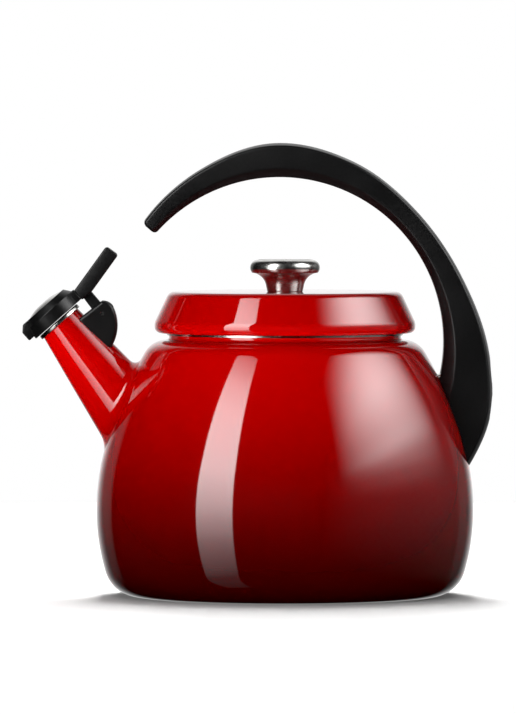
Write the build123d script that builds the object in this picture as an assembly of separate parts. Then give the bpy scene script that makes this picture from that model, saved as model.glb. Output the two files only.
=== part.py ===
from build123d import *
import math
import os

# A stovetop whistling kettle: an enamelled steel vessel with a welded spout, a lift-off lid, a
# crescent handle screwed to one side and a sprung whistle cap that hinges on the spout.
# Millimetres. The origin is the centre of the base on the hob, +Z is up, the spout points to -X
# and the handle stands on the +X side. The object is symmetric about the XZ plane.

# ---- vessel ----
WALL = 1.6              # enamelled steel sheet
BODY_R = 100.0          # largest radius
BELLY_Z = 45.0          # height of the largest radius
LOWER_R = 112.0         # upright curvature below the belly
CORNER_R = 18.2         # rounding into the base
FLANK_R = 130.0         # upright curvature just above the belly
FLANK_TURN = 13.5       # degrees that it turns
UPPER_R = 190.0         # upright curvature from there to the shoulder
SHOULDER_LEAN = 30.0    # lean of the side from upright below the shoulder, degrees
SHOULDER_RUN = 7.7      # straight length of the side at that lean
SHOULDER_R = 6.5        # rounding on to the level shoulder
SEAM_LAND = 4.0         # level rim of the shell around the base pan
WELD_GAP = 0.05         # between sheets that are welded edge to edge
STAND_W = 14.0          # width of the base pan's standing ring
DISH = 2.5              # how far the base pan's centre is dished up
DISH_RUN = 10.0         # radial width of the slope up to it

# ---- mouth ----
NECK_R = 61.6           # outer radius of the neck
NECK_H = 3.7            # its height above the shoulder
RING_T = 0.8            # sheet of the mouth ring
RING_EDGE_R = 0.4       # rounding of its edges
RING_PLAY = 0.1         # between ring and neck
RING_SKIRT = 9.0        # depth of the ring's inner leg

# ---- lid ----
LID_T = 1.4             # enamelled steel sheet
LID_R = 69.2            # largest radius
LID_BOTTOM_DROP = 1.4   # bottom of the rim below the top of the mouth ring
LID_H = 22.4            # bottom of the rim to the crown
LID_LEAN = 25.5         # lean of the lid's side from upright, degrees
LID_BEAD_H = 5.5        # upright height of the rolled rim
LID_TURN_IN = 5.2       # how far the rim turns in
LID_EDGE_R = 4.5        # rounding between side and crown
LID_WAIST_R = 6.0       # rounding between side and rolled rim
LID_BEAD_R = 3.3        # rounding under the rolled rim
LID_SEAT = 0.1          # clearance between the collar's flange and the mouth ring
COLLAR_T = 0.8          # sheet of the collar
COLLAR_SKIRT = 12.5     # depth of its skirt
COLLAR_PLAY = 0.9       # between the skirt and the mouth ring

# ---- knob ----
KNOB_H = 16.7
KNOB_R = 18.5           # at the rim
KNOB_RIM_H = 12.5       # height of the widest circle
KNOB_FACE_R = 13.0      # flat of the top
KNOB_FOOT_R = 9.4
KNOB_STEM_R = 10.2
KNOB_UNDER_R = 17.5     # under the rim
KNOB_UNDER_H = 10.0     # height of the underside's edge
KNOB_STEM_H = 3.9       # height where the stem starts to flare
KNOB_FLARE_R = 12.755   # the flare, midway
KNOB_FLARE_H = 8.05
LID_SCREW_R = 2.0       # knob screw, M4
LID_SCREW_IN = 8.0      # length in the knob
LID_SCREW_END = 1.0     # hole beyond the screw's end
LID_HEAD_R = 3.6
LID_HEAD_H = 2.2
LID_WASHER_R = 7.0
LID_WASHER_T = 1.0
HEAD_EDGE = 0.3         # rounding of a screw's head, and its socket's depth, over its height
SOCKET_DEPTH = 0.6
SCREW_PLAY = 0.05       # between a screw and the thread that it fills
HOLE_PLAY = 0.3         # between a screw and a clearance hole

# ---- spout ----
SPOUT_ROOT_Z = 103.9    # height where its centre line meets the vessel's side
SPOUT_RISE = 52.2       # degrees above level
SPOUT_LEN = 51.6        # root to mouth along the centre line
SPOUT_MOUTH_R = 11.85
SPOUT_TAPER = 7.7       # half angle, degrees
SPOUT_FILLET = 5.0      # at the root
SPOUT_ROOT_R = 26.5     # radius of the piece of wall that is drawn with the spout
SPOUT_SPARE = 2.0       # length beyond the mouth before it is cut off
MOUTH_RISE = 48.6       # degrees above level of the mouth's normal

# ---- whistle cap, heights measured from the spout's mouth along its normal ----
RIM_R = 13.2            # flange of the steel bush
RIM_T = 2.2             # its height
RIM_EDGE_R = 0.88       # rounding of its edge
BUSH_T = 0.7            # wall of the bush
BUSH_PLAY = 0.15        # between bush and spout
BUSH_DEPTH = 7.0
CAP_SEAT = 0.3          # between the shut cap and the bush's flange
CAP_R = 15.4
CAP_H = 10.2            # height of the ring
CAP_CHAMFER_W = 2.8
CAP_CHAMFER_H = 3.7
CAP_EDGE_R = 0.5        # rounding of the ring's edges
CAP_PAD = 1.3           # how far the lever's pad stands out of the ring
LIP_REACH = 3.2         # front lip beyond the ring
LIP_W = 13.0
LIP_LIFT = 1.6          # bottom of the lip above the bottom of the ring
LIP_CORNER = 3.0
CUP_R = 10.8            # whistle cup
CUP_T = 0.6
FIT = 0.1               # between cup, dome and ring
CUP_TOP_DROP = 1.2      # rim of the cup below the top of the ring
DOME_SHELF = 0.4        # width of the ring's shelf under the dome
DOME_RISE = 1.7         # dome above the ring
DOME_EDGE = 0.9         # upright edge of the dome
STEAM_R = 2.2           # holes of the whistle
DISC_LIFT = 3.9         # whistle disc above the bottom of the cup
DISC_T = 0.6
DISC_PLAY = 0.05

# ---- thumb lever ----
LEVER_W = 14.0
LEVER_T = 7.9
LEVER_LEAN = 12.8       # degrees above the plane of the cap
LEVER_LEN = 30.7        # from the seam, along the lever
LEVER_END_R = 1.6
LEVER_EDGE_R = 0.8      # rounding of its sides
HUB_DROP = 0.7          # bottom of the hub below the bottom of the ring
HUB_LEN = 7.0
ARM_W = 5.2             # arm, seen from the side
ARM_T = 5.0             # arm, across
ARM_INSET = 1.4         # arm from the seam
LEVER_SCREW_R = 1.2
LEVER_SCREW_IN = 6.5
LEVER_HEAD_R = 2.2
LEVER_HEAD_H = 1.6
LEVER_SCREW_Z = 3.3     # above the bottom of the ring

# ---- whistle hinge ----
PIN_R = 1.1
PIN_OUT = 20.1          # pin from the mouth's centre, across the mouth towards the lid
PIN_DROP = 10.6         # pin below the plane of the mouth
PIN_FIT = 0.04          # between the pin and the ears or the arm
PIN_END = 0.5           # pin end below the face of the hinge cover
EYE_R = 3.0
EAR_T = 1.5
EAR_SLOT = 10.6         # between the ears
EAR_R = 3.2
WEB_T = 1.4             # lug over the spout
LUG_BACK = 7.0          # length of the lug behind the pin
COVER_PLAY = 0.2        # between hinge cover and lug
COVER_T = 2.2           # wall of the hinge cover
COVER_FRONT = 5.4       # cover in front of the pin
COVER_TOP = 6.6         # above it
COVER_BACK = 17.6       # behind it
COVER_CREST = 3.0       # crest of the back curve behind the pin
COVER_HUMP = 2.0        # the back curve midway, above the pin
COVER_HUMP_BACK = 10.3  # and behind it
COVER_EDGE_R = 1.8
COVER_SEAT = 0.1        # between cover and spout
ARM_ROOM = 1.0          # around the arm where it swings out of the cover
SPRING_WIRE_R = 0.35
SPRING_COIL_R = 2.0
SPRING_TURNS = 2
SPRING_PITCH = 0.8
SPRING_PLAY = 0.25      # between the spring and the arm
SPRING_LEG = 5.5

# ---- handle ----
HANDLE_REACH = 102.9    # centre of the inner circle, in from the largest radius
HANDLE_RISE = 90.2      # and up from the belly
HANDLE_INNER_R = 86.9
HANDLE_TIP = 139.3      # degrees from +X to the free end
# depth of the crescent outside the inner circle, at degrees from +X
HANDLE_DEPTHS = (
    (HANDLE_TIP, 8.9),
    (115.0, 13.2),
    (92.0, 18.0),
    (68.0, 16.0),
    (42.0, 13.2),
    (18.0, 16.0),
    (-6.0, 25.7),
    (-20.0, 31.9),
    (-34.0, 33.6),
)
HANDLE_TIP_W = 20.0     # across, at the free end
HANDLE_FOOT_W = 30.0    # across, at the foot
HANDLE_EDGE_R = 3.0     # rounding of the outer edges
HANDLE_END_R = 2.2      # rounding of the free end
FOOT_SEAT = 0.1         # between the foot and the vessel

# ---- handle fixing ----
FIX_Z = 101.0           # height of the middle of the bracket
FIX_PITCH = 17.0        # between the two screws
BRACKET_L = 36.0
BRACKET_W = 18.0
BRACKET_T = 2.4         # at its middle
POCKET_PLAY = 0.25      # around the bracket and its nuts
NUT_AF = 8.0            # M5
NUT_T = 4.0
SCREW_R = 2.5
SCREW_GRIP = 5.0        # handle between nut and washer
SCREW_TIP = 0.4         # end of the screw short of the vessel
WASHER_R = 5.0
WASHER_T = 1.0
HEAD_R = 4.2
HEAD_H = 3.0
COUNTERBORE_PLAY = 0.4
SOCKET_AF = 3.0

# ---- what follows from them ----
RING_OUT_R = NECK_R + RING_PLAY + RING_T
RING_IN_R = NECK_R - WALL - RING_PLAY - RING_T
BASE_R = BODY_R - LOWER_R + math.sqrt((LOWER_R - CORNER_R) ** 2 - (BELLY_Z - CORNER_R) ** 2)
SEAM_R = BASE_R - SEAM_LAND


def polar(radius, degrees):
    angle = math.radians(degrees)
    return Vector(radius * math.cos(angle), radius * math.sin(angle))


LOWER_C = Vector(BODY_R - LOWER_R, BELLY_Z)
CORNER_C = Vector(BASE_R, CORNER_R)
CORNER_END = math.degrees(math.atan2(CORNER_R - BELLY_Z, BASE_R - LOWER_C.X))
FLANK_C = Vector(BODY_R - FLANK_R, BELLY_Z)
UPPER_C = FLANK_C + polar(FLANK_R - UPPER_R, FLANK_TURN)
RUN_START = UPPER_C + polar(UPPER_R, SHOULDER_LEAN)
RUN_END = RUN_START + polar(SHOULDER_RUN, SHOULDER_LEAN + 90)
SHOULDER_C = RUN_END - polar(SHOULDER_R, SHOULDER_LEAN)
SHOULDER_Z = SHOULDER_C.Y + SHOULDER_R
RING_TOP = SHOULDER_Z + NECK_H + RING_T


def side_radius(z):
    """Outer radius of the vessel at a height between the flank and the shoulder."""
    return UPPER_C.X + math.sqrt(UPPER_R ** 2 - (z - UPPER_C.Y) ** 2)


def upright(x, z):
    """A point of the XZ plane."""
    return Vector(x, 0, z)


SPOUT_DIR = upright(-math.cos(math.radians(SPOUT_RISE)), math.sin(math.radians(SPOUT_RISE)))
SPOUT_ROOT = upright(-side_radius(SPOUT_ROOT_Z), SPOUT_ROOT_Z)
MOUTH_C = SPOUT_ROOT + SPOUT_DIR * SPOUT_LEN
MOUTH_DIR = upright(-math.cos(math.radians(MOUTH_RISE)), math.sin(math.radians(MOUTH_RISE)))
# frames whose X axis points across the spout, up towards the lid, and whose Y axis is the row's
SPOUT_FRAME = Plane(MOUTH_C, x_dir=upright(SPOUT_DIR.Z, -SPOUT_DIR.X), z_dir=SPOUT_DIR)
MOUTH_FRAME = Plane(MOUTH_C, x_dir=upright(MOUTH_DIR.Z, -MOUTH_DIR.X), z_dir=MOUTH_DIR)
CAP_BOTTOM = RIM_T + CAP_SEAT
SEAM_X = CAP_R + CAP_PAD
PIN_POINT = MOUTH_FRAME.from_local_coords(Vector(PIN_OUT, 0, -PIN_DROP))


def turned(profile):
    """Solid of revolution about Z of a profile drawn as (radius, height)."""
    return revolve(Plane.XZ * profile, Axis.Z)


def outline(*edges):
    """Face inside a closed chain of edges."""
    return make_face(list(edges))


def sheet(path, thickness):
    """Face of a sheet of even thickness on the left of an open path."""
    return make_face(offset(path, amount=thickness, side=Side.LEFT, closed=True).edges())


def tube(outer, inner, low, high):
    return turned(Pos((outer + inner) / 2, (low + high) / 2) * Rectangle(outer - inner, high - low))


def across(profile, width):
    """Prism of a profile drawn as (x, z), even about the XZ plane."""
    return extrude(Plane.XZ * profile, width / 2, both=True)


def cross_rod(point, radius, length):
    """Rod along Y, even about the XZ plane."""
    return Plane(point, z_dir=(0, 1, 0)) * Cylinder(radius, length)


def on(frame, shape):
    return frame.location * shape


# ---- vessel ----

def side_arcs(inset):
    """The side from the base to the shoulder, drawn as (radius, height), moved inwards."""
    return [
        CenterArc(CORNER_C, CORNER_R - inset, -90, CORNER_END + 90),
        CenterArc(LOWER_C, LOWER_R - inset, CORNER_END, -CORNER_END),
        CenterArc(FLANK_C, FLANK_R - inset, 0, FLANK_TURN),
        CenterArc(UPPER_C, UPPER_R - inset, FLANK_TURN, SHOULDER_LEAN - FLANK_TURN),
        Line(RUN_START - polar(inset, SHOULDER_LEAN), RUN_END - polar(inset, SHOULDER_LEAN)),
        CenterArc(SHOULDER_C, SHOULDER_R - inset, SHOULDER_LEAN, 90 - SHOULDER_LEAN),
    ]


def vessel_solid(inset):
    """The vessel filled up to its shoulder, its skin moved inwards."""
    return turned(outline(
        *side_arcs(inset),
        Polyline(
            (SHOULDER_C.X, SHOULDER_Z - inset),
            (0, SHOULDER_Z - inset),
            (0, inset),
            (BASE_R, inset),
        ),
    ))


def vessel_wall():
    neck_top = SHOULDER_Z + NECK_H
    neck_in = NECK_R - WALL
    return turned(outline(
        *side_arcs(0),
        *side_arcs(WALL),
        Polyline(
            (SHOULDER_C.X, SHOULDER_Z),
            (NECK_R, SHOULDER_Z),
            (NECK_R, neck_top),
            (neck_in, neck_top),
            (neck_in, SHOULDER_Z - WALL),
            (SHOULDER_C.X, SHOULDER_Z - WALL),
        ),
        Polyline((BASE_R, WALL), (SEAM_R, WALL), (SEAM_R, 0), (BASE_R, 0)),
    ))


def spout_plug():
    """Cylinder along the spout that holds the spout and the wall around its root."""
    return on(SPOUT_FRAME, Pos(Z=-SPOUT_LEN + BODY_R / 2) * Cylinder(SPOUT_ROOT_R, 2 * BODY_R))


def make_vessel_shell():
    return vessel_wall() - spout_plug()


def make_vessel_base():
    rim = SEAM_R - WELD_GAP
    path = Polyline(
        (0, DISH),
        (rim - STAND_W - DISH_RUN, DISH),
        (rim - STAND_W, 0),
        (rim, 0),
    )
    return turned(sheet(path, WALL))


def spout_cone(inset):
    """The spout filled, cut off at its mouth, reaching into the vessel."""
    slope = math.tan(math.radians(SPOUT_TAPER))
    above = 2 * SPOUT_MOUTH_R * math.tan(math.radians(SPOUT_RISE - MOUTH_RISE)) + SPOUT_SPARE
    below = SPOUT_LEN + SPOUT_ROOT_R
    top_r = SPOUT_MOUTH_R - inset - slope * above
    low_r = SPOUT_MOUTH_R - inset + slope * below
    cone = Pos(Z=(above - below) / 2) * Cone(low_r, top_r, above + below)
    beyond = Pos(Z=SPOUT_LEN / 2) * Cylinder(SPOUT_LEN, SPOUT_LEN)
    return on(SPOUT_FRAME, cone) - on(MOUTH_FRAME, beyond)


def root_edges(shape):
    """Edges where the spout meets the vessel's side."""
    found = []
    for edge in shape.edges():
        middle = SPOUT_FRAME.to_local_coords(edge @ 0.5)
        away = math.hypot(middle.X, middle.Y)
        if away < SPOUT_ROOT_R and -SPOUT_LEN - SPOUT_ROOT_R < middle.Z < -SPOUT_LEN / 3:
            found.append(edge)
    return found


def make_spout():
    skin = vessel_solid(0) + spout_cone(0)
    skin = fillet(root_edges(skin), SPOUT_FILLET)
    hollow = vessel_solid(WALL) + spout_cone(WALL)
    hollow = fillet(root_edges(hollow), SPOUT_FILLET + WALL)
    return (skin - hollow) & spout_plug()


def make_spout_rim():
    bush_r = SPOUT_MOUTH_R - WALL - BUSH_PLAY
    flange = Pos((RIM_R + bush_r - BUSH_T) / 2, RIM_T / 2) * Rectangle(RIM_R - bush_r + BUSH_T, RIM_T)
    flange = fillet(flange.vertices().group_by(Axis.X)[-1], RIM_EDGE_R)
    return on(MOUTH_FRAME, turned(flange) + tube(bush_r, bush_r - BUSH_T, -BUSH_DEPTH, RIM_T / 2))


def make_mouth_ring():
    neck_top = SHOULDER_Z + NECK_H
    top = Rectangle(RING_OUT_R - RING_IN_R, RING_T)
    ring = tube(RING_OUT_R, RING_OUT_R - RING_T, SHOULDER_Z, RING_TOP)
    ring += tube(RING_OUT_R, RING_IN_R, neck_top, RING_TOP)
    ring += tube(RING_IN_R + RING_T, RING_IN_R, RING_TOP - RING_SKIRT, RING_TOP)
    return fillet(ring.edges().group_by(Axis.Z)[-1], RING_EDGE_R)


# ---- lid ----

def make_lid_cover():
    bottom = RING_TOP - LID_BOTTOM_DROP
    crown = bottom + LID_H
    bead_top = bottom + LID_BEAD_H
    side_top_r = LID_R - (crown - bead_top) * math.tan(math.radians(LID_LEAN))
    path = FilletPolyline(
        (LID_R - LID_TURN_IN, bottom),
        (LID_R, bottom),
        (LID_R, bead_top),
        (side_top_r, crown),
        (LID_SCREW_R + HOLE_PLAY, crown),
        radius=(LID_BEAD_R, LID_WAIST_R, LID_EDGE_R),
    )
    return turned(sheet(path, LID_T))


def make_lid_collar():
    seat = RING_TOP + LID_SEAT
    skirt_r = RING_IN_R - COLLAR_PLAY
    flange_r = LID_R - LID_BEAD_R
    flange = tube(flange_r, skirt_r - COLLAR_T, seat, seat + COLLAR_T)
    return flange + tube(skirt_r, skirt_r - COLLAR_T, seat - COLLAR_SKIRT, seat + COLLAR_T)


def lid_crown():
    return RING_TOP - LID_BOTTOM_DROP + LID_H


def make_knob():
    profile = outline(
        Polyline((0, KNOB_H), (0, 0), (KNOB_FOOT_R, 0), (KNOB_STEM_R, KNOB_STEM_H)),
        ThreePointArc(
            (KNOB_STEM_R, KNOB_STEM_H),
            (KNOB_FLARE_R, KNOB_FLARE_H),
            (KNOB_UNDER_R, KNOB_UNDER_H),
        ),
        ThreePointArc(
            (KNOB_UNDER_R, KNOB_UNDER_H),
            (KNOB_R, KNOB_RIM_H),
            (KNOB_FACE_R, KNOB_H),
        ),
        Line((KNOB_FACE_R, KNOB_H), (0, KNOB_H)),
    )
    thread_r = LID_SCREW_R + SCREW_PLAY
    depth = LID_SCREW_IN + LID_SCREW_END
    return Pos(Z=lid_crown()) * (turned(profile) - Pos(Z=depth / 2) * Cylinder(thread_r, depth))


def make_knob_washer():
    top = lid_crown() - LID_T
    return tube(LID_WASHER_R, LID_SCREW_R + HOLE_PLAY, top - LID_WASHER_T, top)


def screw(shank_r, shank, head_r, head, socket):
    """Screw along +Z with the underside of its head at 0 and a hexagon socket below it."""
    drive = RegularPolygon(socket / 2, 6, major_radius=False)
    body = Pos(Z=-head / 2) * Cylinder(head_r, head) + Pos(Z=shank / 2) * Cylinder(shank_r, shank)
    body = fillet(body.edges().group_by(Axis.Z)[0], head * HEAD_EDGE)
    return body - Pos(Z=-head) * extrude(drive, head * SOCKET_DEPTH)


def make_knob_screw():
    under_head = lid_crown() - LID_T - LID_WASHER_T
    shank = LID_SCREW_IN + LID_T + LID_WASHER_T
    return Pos(Z=under_head) * screw(LID_SCREW_R, shank, LID_HEAD_R, LID_HEAD_H, LID_SCREW_R)


# ---- whistle cap, drawn as (across the mouth, above the mouth) ----

def make_cap_ring():
    top = CAP_BOTTOM + CAP_H
    bore = CUP_R + FIT
    shelf_r = bore + DOME_SHELF
    shelf = top - CUP_TOP_DROP + FIT
    section = make_face(Polyline(
        (bore, CAP_BOTTOM),
        (CAP_R, CAP_BOTTOM),
        (CAP_R, top - CAP_CHAMFER_H),
        (CAP_R - CAP_CHAMFER_W, top),
        (shelf_r, top),
        (shelf_r, shelf),
        (bore, shelf),
        (bore, CAP_BOTTOM),
    ))
    ring = turned(fillet(section.vertices().group_by(Axis.X)[-1], CAP_EDGE_R))
    pad_h = CAP_H - CAP_CHAMFER_H
    pad = Pos((bore + SEAM_X) / 2, 0, CAP_BOTTOM + pad_h / 2) * Box(SEAM_X - bore, LEVER_W, pad_h)
    lip = across(make_face(Polyline(
        (-bore, CAP_BOTTOM + LIP_LIFT),
        (-CAP_R - LIP_REACH, CAP_BOTTOM + LIP_LIFT),
        (-CAP_R - LIP_REACH, top - LIP_CORNER),
        (-CAP_R - LIP_REACH + LIP_CORNER, top),
        (-bore, top),
        (-bore, CAP_BOTTOM + LIP_LIFT),
    )), LIP_W)
    inside = Pos(Z=(CAP_BOTTOM + shelf) / 2) * Cylinder(bore, shelf - CAP_BOTTOM)
    recess = Pos(Z=shelf + CAP_H / 2) * Cylinder(shelf_r, CAP_H)
    return on(MOUTH_FRAME, ring + (pad + lip - inside - recess) - lever_screw_room())


def lever_screw_frame():
    """At the underside of the lever screw's head, pointing into the hub."""
    seat = CUP_R + FIT + LEVER_HEAD_H + FIT
    return Plane((seat, 0, CAP_BOTTOM + LEVER_SCREW_Z), x_dir=(0, 1, 0), z_dir=(1, 0, 0))


def lever_screw_room():
    """Counterbore and clearance hole in the ring."""
    through = Pos(Z=CAP_R / 2) * Cylinder(LEVER_SCREW_R + FIT, CAP_R)
    head = Pos(Z=-CAP_R / 4) * Cylinder(LEVER_HEAD_R + FIT, CAP_R / 2)
    return on(lever_screw_frame(), through + head)


def lever_screw_shank():
    return SEAM_X - lever_screw_frame().origin.X + LEVER_SCREW_IN


def make_lever_screw():
    body = screw(LEVER_SCREW_R, lever_screw_shank(), LEVER_HEAD_R, LEVER_HEAD_H, LEVER_SCREW_R)
    return on(MOUTH_FRAME, on(lever_screw_frame(), body))


def make_thumb_lever():
    bottom = CAP_BOTTOM - HUB_DROP
    hub_end = SEAM_X + HUB_LEN
    lean = math.radians(LEVER_LEAN)
    along = Vector(math.cos(lean), math.sin(lean))
    up = Vector(-along.Y, along.X)
    low_tip = Vector(hub_end, bottom) + along * (LEVER_LEN - HUB_LEN)
    high_tip = low_tip + up * LEVER_T
    high_root_z = bottom + LEVER_T / along.X - HUB_LEN * math.tan(lean)
    lever = make_face(Polyline(
        (SEAM_X, bottom),
        (hub_end, bottom),
        low_tip,
        high_tip,
        (SEAM_X, high_root_z),
        (SEAM_X, bottom),
    ))
    ends = lever.vertices().group_by(Axis.X)
    lever = fillet(ends[-1] + ends[-2], LEVER_END_R)
    body = across(lever, LEVER_W)
    sides = body.edges().group_by(Axis.Y)
    body = fillet(sides[0] + sides[-1], LEVER_EDGE_R)
    arm_x = SEAM_X + ARM_INSET + ARM_W / 2
    arm_top = bottom + LEVER_T / 2
    arm_drawn = make_face(Polyline(
        (arm_x - ARM_W / 2, arm_top),
        (arm_x + ARM_W / 2, arm_top),
        (PIN_OUT + EYE_R, -PIN_DROP + EYE_R),
        (PIN_OUT + EYE_R, -PIN_DROP),
        (PIN_OUT - EYE_R, -PIN_DROP),
        (PIN_OUT - EYE_R, -PIN_DROP + EYE_R),
        (arm_x - ARM_W / 2, arm_top),
    ))
    body += across(arm_drawn + Pos(PIN_OUT, -PIN_DROP) * Circle(EYE_R), ARM_T)
    body -= cross_rod((PIN_OUT, 0, -PIN_DROP), PIN_R + PIN_FIT, LEVER_W)
    depth = lever_screw_shank()
    thread = Pos(Z=depth / 2 + FIT) * Cylinder(LEVER_SCREW_R + SCREW_PLAY, depth)
    return on(MOUTH_FRAME, body - on(lever_screw_frame(), thread))


def make_whistle_cup():
    top = CAP_BOTTOM + CAP_H - CUP_TOP_DROP
    path = FilletPolyline((STEAM_R, CAP_BOTTOM), (CUP_R, CAP_BOTTOM), (CUP_R, top), radius=2 * CUP_T)
    return on(MOUTH_FRAME, turned(sheet(path, CUP_T)))


def make_whistle_disc():
    low = CAP_BOTTOM + DISC_LIFT
    return on(MOUTH_FRAME, tube(CUP_R - CUP_T - DISC_PLAY, STEAM_R, low, low + DISC_T))


def make_whistle_dome():
    edge_r = CUP_R + DOME_SHELF
    low = CAP_BOTTOM + CAP_H - CUP_TOP_DROP + 2 * FIT
    knee = low + DOME_EDGE
    high = CAP_BOTTOM + CAP_H + DOME_RISE
    dome_r = ((edge_r - STEAM_R) ** 2 + (high - knee) ** 2) / (2 * (high - knee))
    path = [Line((edge_r, low), (edge_r, knee)), RadiusArc((edge_r, knee), (STEAM_R, high), -dome_r)]
    return on(MOUTH_FRAME, turned(sheet(Wire(path), CUP_T)))


# ---- whistle hinge ----

def pin_length():
    return EAR_SLOT + 2 * (EAR_T + COVER_PLAY + COVER_T - PIN_END)


def make_hinge_pin():
    return cross_rod(PIN_POINT, PIN_R, pin_length())


def spout_local(point):
    """A point as (across the spout, along the spout)."""
    local = SPOUT_FRAME.to_local_coords(point)
    return Vector(local.X, local.Z)


PIN_ON_SPOUT = spout_local(PIN_POINT)


def lug_side(grow):
    """Side view of the lug around the pin, from inside the spout upwards."""
    front = PIN_ON_SPOUT.Y + EAR_R
    back = PIN_ON_SPOUT.Y - LUG_BACK
    ears = Pos(PIN_ON_SPOUT.X, PIN_ON_SPOUT.Y) * Circle(EAR_R + grow)
    foot = make_face(Polyline(
        (0, front + grow),
        (PIN_ON_SPOUT.X, front + grow),
        (PIN_ON_SPOUT.X, PIN_ON_SPOUT.Y - EAR_R - grow),
        (SPOUT_MOUTH_R, back - grow),
        (0, back - grow),
        (0, front + grow),
    ))
    return foot + ears


def make_spout_lug():
    skin = SPOUT_MOUTH_R + math.tan(math.radians(SPOUT_TAPER)) * -PIN_ON_SPOUT.Y
    outside_w = EAR_SLOT + 2 * EAR_T
    lug = across(lug_side(0), outside_w)
    slot_h = 2 * PIN_ON_SPOUT.X
    lug -= Pos(skin + WEB_T + slot_h / 2, 0, PIN_ON_SPOUT.Y) * Box(slot_h, EAR_SLOT, slot_h)
    lug -= cross_rod((PIN_ON_SPOUT.X, 0, PIN_ON_SPOUT.Y), PIN_R + PIN_FIT, 2 * outside_w)
    return on(SPOUT_FRAME, lug) - spout_cone(-WELD_GAP)


def cover_side():
    """Side view of the hinge cover: upright front, curved back down to the spout."""
    front = PIN_ON_SPOUT.Y + COVER_FRONT
    top = PIN_ON_SPOUT.X + COVER_TOP
    back = PIN_ON_SPOUT.Y - COVER_BACK
    foot = SPOUT_MOUTH_R - 2 * COVER_EDGE_R
    hump = (PIN_ON_SPOUT.X + COVER_HUMP, PIN_ON_SPOUT.Y - COVER_HUMP_BACK)
    crest = (top, PIN_ON_SPOUT.Y)
    toe = (SPOUT_MOUTH_R, back)
    return outline(
        Polyline((top - COVER_CREST, front), (foot, front), (foot, back + COVER_CREST), toe),
        ThreePointArc(toe, hump, crest),
        TangentArc(crest, (top - COVER_CREST, front), tangent=(0, 1)),
    )


def make_hinge_cover():
    inside_w = EAR_SLOT + 2 * (EAR_T + COVER_PLAY)
    outside_w = inside_w + 2 * COVER_T
    shell = across(cover_side(), outside_w)
    rims = shell.edges().group_by(Axis.Y)
    shell = fillet(rims[0] + rims[-1], COVER_EDGE_R)
    room = across(offset(cover_side(), amount=-COVER_T), inside_w)
    arm_way = SPOUT_LEN / 2
    way_x = PIN_ON_SPOUT.X + arm_way / 2 - EYE_R - ARM_ROOM
    way_z = PIN_ON_SPOUT.Y + arm_way / 2 - ARM_ROOM
    room += Pos(way_x, 0, way_z) * Box(arm_way, inside_w, arm_way)
    room += across(lug_side(COVER_PLAY), inside_w)
    shell -= room
    shell -= cross_rod((PIN_ON_SPOUT.X, 0, PIN_ON_SPOUT.Y), PIN_R + PIN_FIT, 2 * outside_w)
    return on(SPOUT_FRAME, shell) - spout_cone(-COVER_SEAT)


def make_torsion_spring():
    start = ARM_T / 2 + SPRING_WIRE_R + SPRING_PLAY
    coil_path = Helix(SPRING_PITCH, SPRING_TURNS * SPRING_PITCH, SPRING_COIL_R)
    section = Plane(coil_path @ 0, z_dir=coil_path % 0) * Circle(SPRING_WIRE_R)
    coil = sweep(section, path=coil_path, is_frenet=True)
    leg = Pos(Z=SPRING_LEG / 2) * Cylinder(SPRING_WIRE_R, SPRING_LEG)
    first = Plane(coil_path @ 0, z_dir=(0, -1, 0)) * leg
    last = Plane(coil_path @ 1, z_dir=(0, 1, 0)) * leg
    seat = Plane(PIN_POINT + Vector(0, start, 0), x_dir=SPOUT_FRAME.x_dir, z_dir=(0, 1, 0))
    return on(seat, coil + first + last)


# ---- handle, drawn as (x, z) around the centre of its inner circle ----

HANDLE_C = Vector(BODY_R - HANDLE_REACH, BELLY_Z + HANDLE_RISE)


def handle_side():
    outer = [polar(HANDLE_INNER_R + depth, angle) for angle, depth in HANDLE_DEPTHS]
    tip_inner = polar(HANDLE_INNER_R, HANDLE_TIP)
    foot_angle = HANDLE_DEPTHS[-1][0]
    foot_inner = polar(HANDLE_INNER_R, foot_angle)
    side = outline(
        Spline(*outer),
        Line(outer[-1], foot_inner),
        CenterArc((0, 0), HANDLE_INNER_R, foot_angle, HANDLE_TIP - foot_angle),
        Line(tip_inner, outer[0]),
    )
    return fillet(side.vertices().sort_by(Axis.X)[:2], HANDLE_END_R)


def fix_frame():
    """On the vessel's side at the bracket, Z outwards, X across and Y up the side."""
    lean = math.asin((FIX_Z - UPPER_C.Y) / UPPER_R)
    normal = upright(math.cos(lean), math.sin(lean))
    return Plane(upright(side_radius(FIX_Z), FIX_Z), x_dir=(0, 1, 0), z_dir=normal)


def head_seat():
    """Height above the vessel's side of the screw heads' seats."""
    return BRACKET_T + NUT_T + SCREW_GRIP + WASHER_T


def make_handle_bracket():
    plate = Pos(Z=(BRACKET_T - WALL) / 2) * Box(BRACKET_W, BRACKET_L, BRACKET_T + WALL)
    plate = fillet(plate.edges().filter_by(Axis.Z), BRACKET_T)
    hole = Cylinder(SCREW_R + HOLE_PLAY, 8 * BRACKET_T)
    plate -= [Pos(0, side * FIX_PITCH / 2, 0) * hole for side in (-1, 1)]
    return on(fix_frame(), plate) - vessel_solid(-WELD_GAP)


def at_screws(shape):
    return Compound(children=[
        fix_frame().location * Pos(0, side * FIX_PITCH / 2, 0) * shape for side in (-1, 1)
    ])


def make_bracket_nuts():
    nut = extrude(RegularPolygon(NUT_AF / 2, 6, major_radius=False), NUT_T)
    return at_screws(Pos(Z=BRACKET_T) * (nut - Cylinder(SCREW_R + SCREW_PLAY, 4 * NUT_T)))


def make_handle_washers():
    washer = Cylinder(WASHER_R, WASHER_T) - Cylinder(SCREW_R + HOLE_PLAY, 2 * WASHER_T)
    return at_screws(Pos(Z=head_seat() - WASHER_T / 2) * washer)


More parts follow.
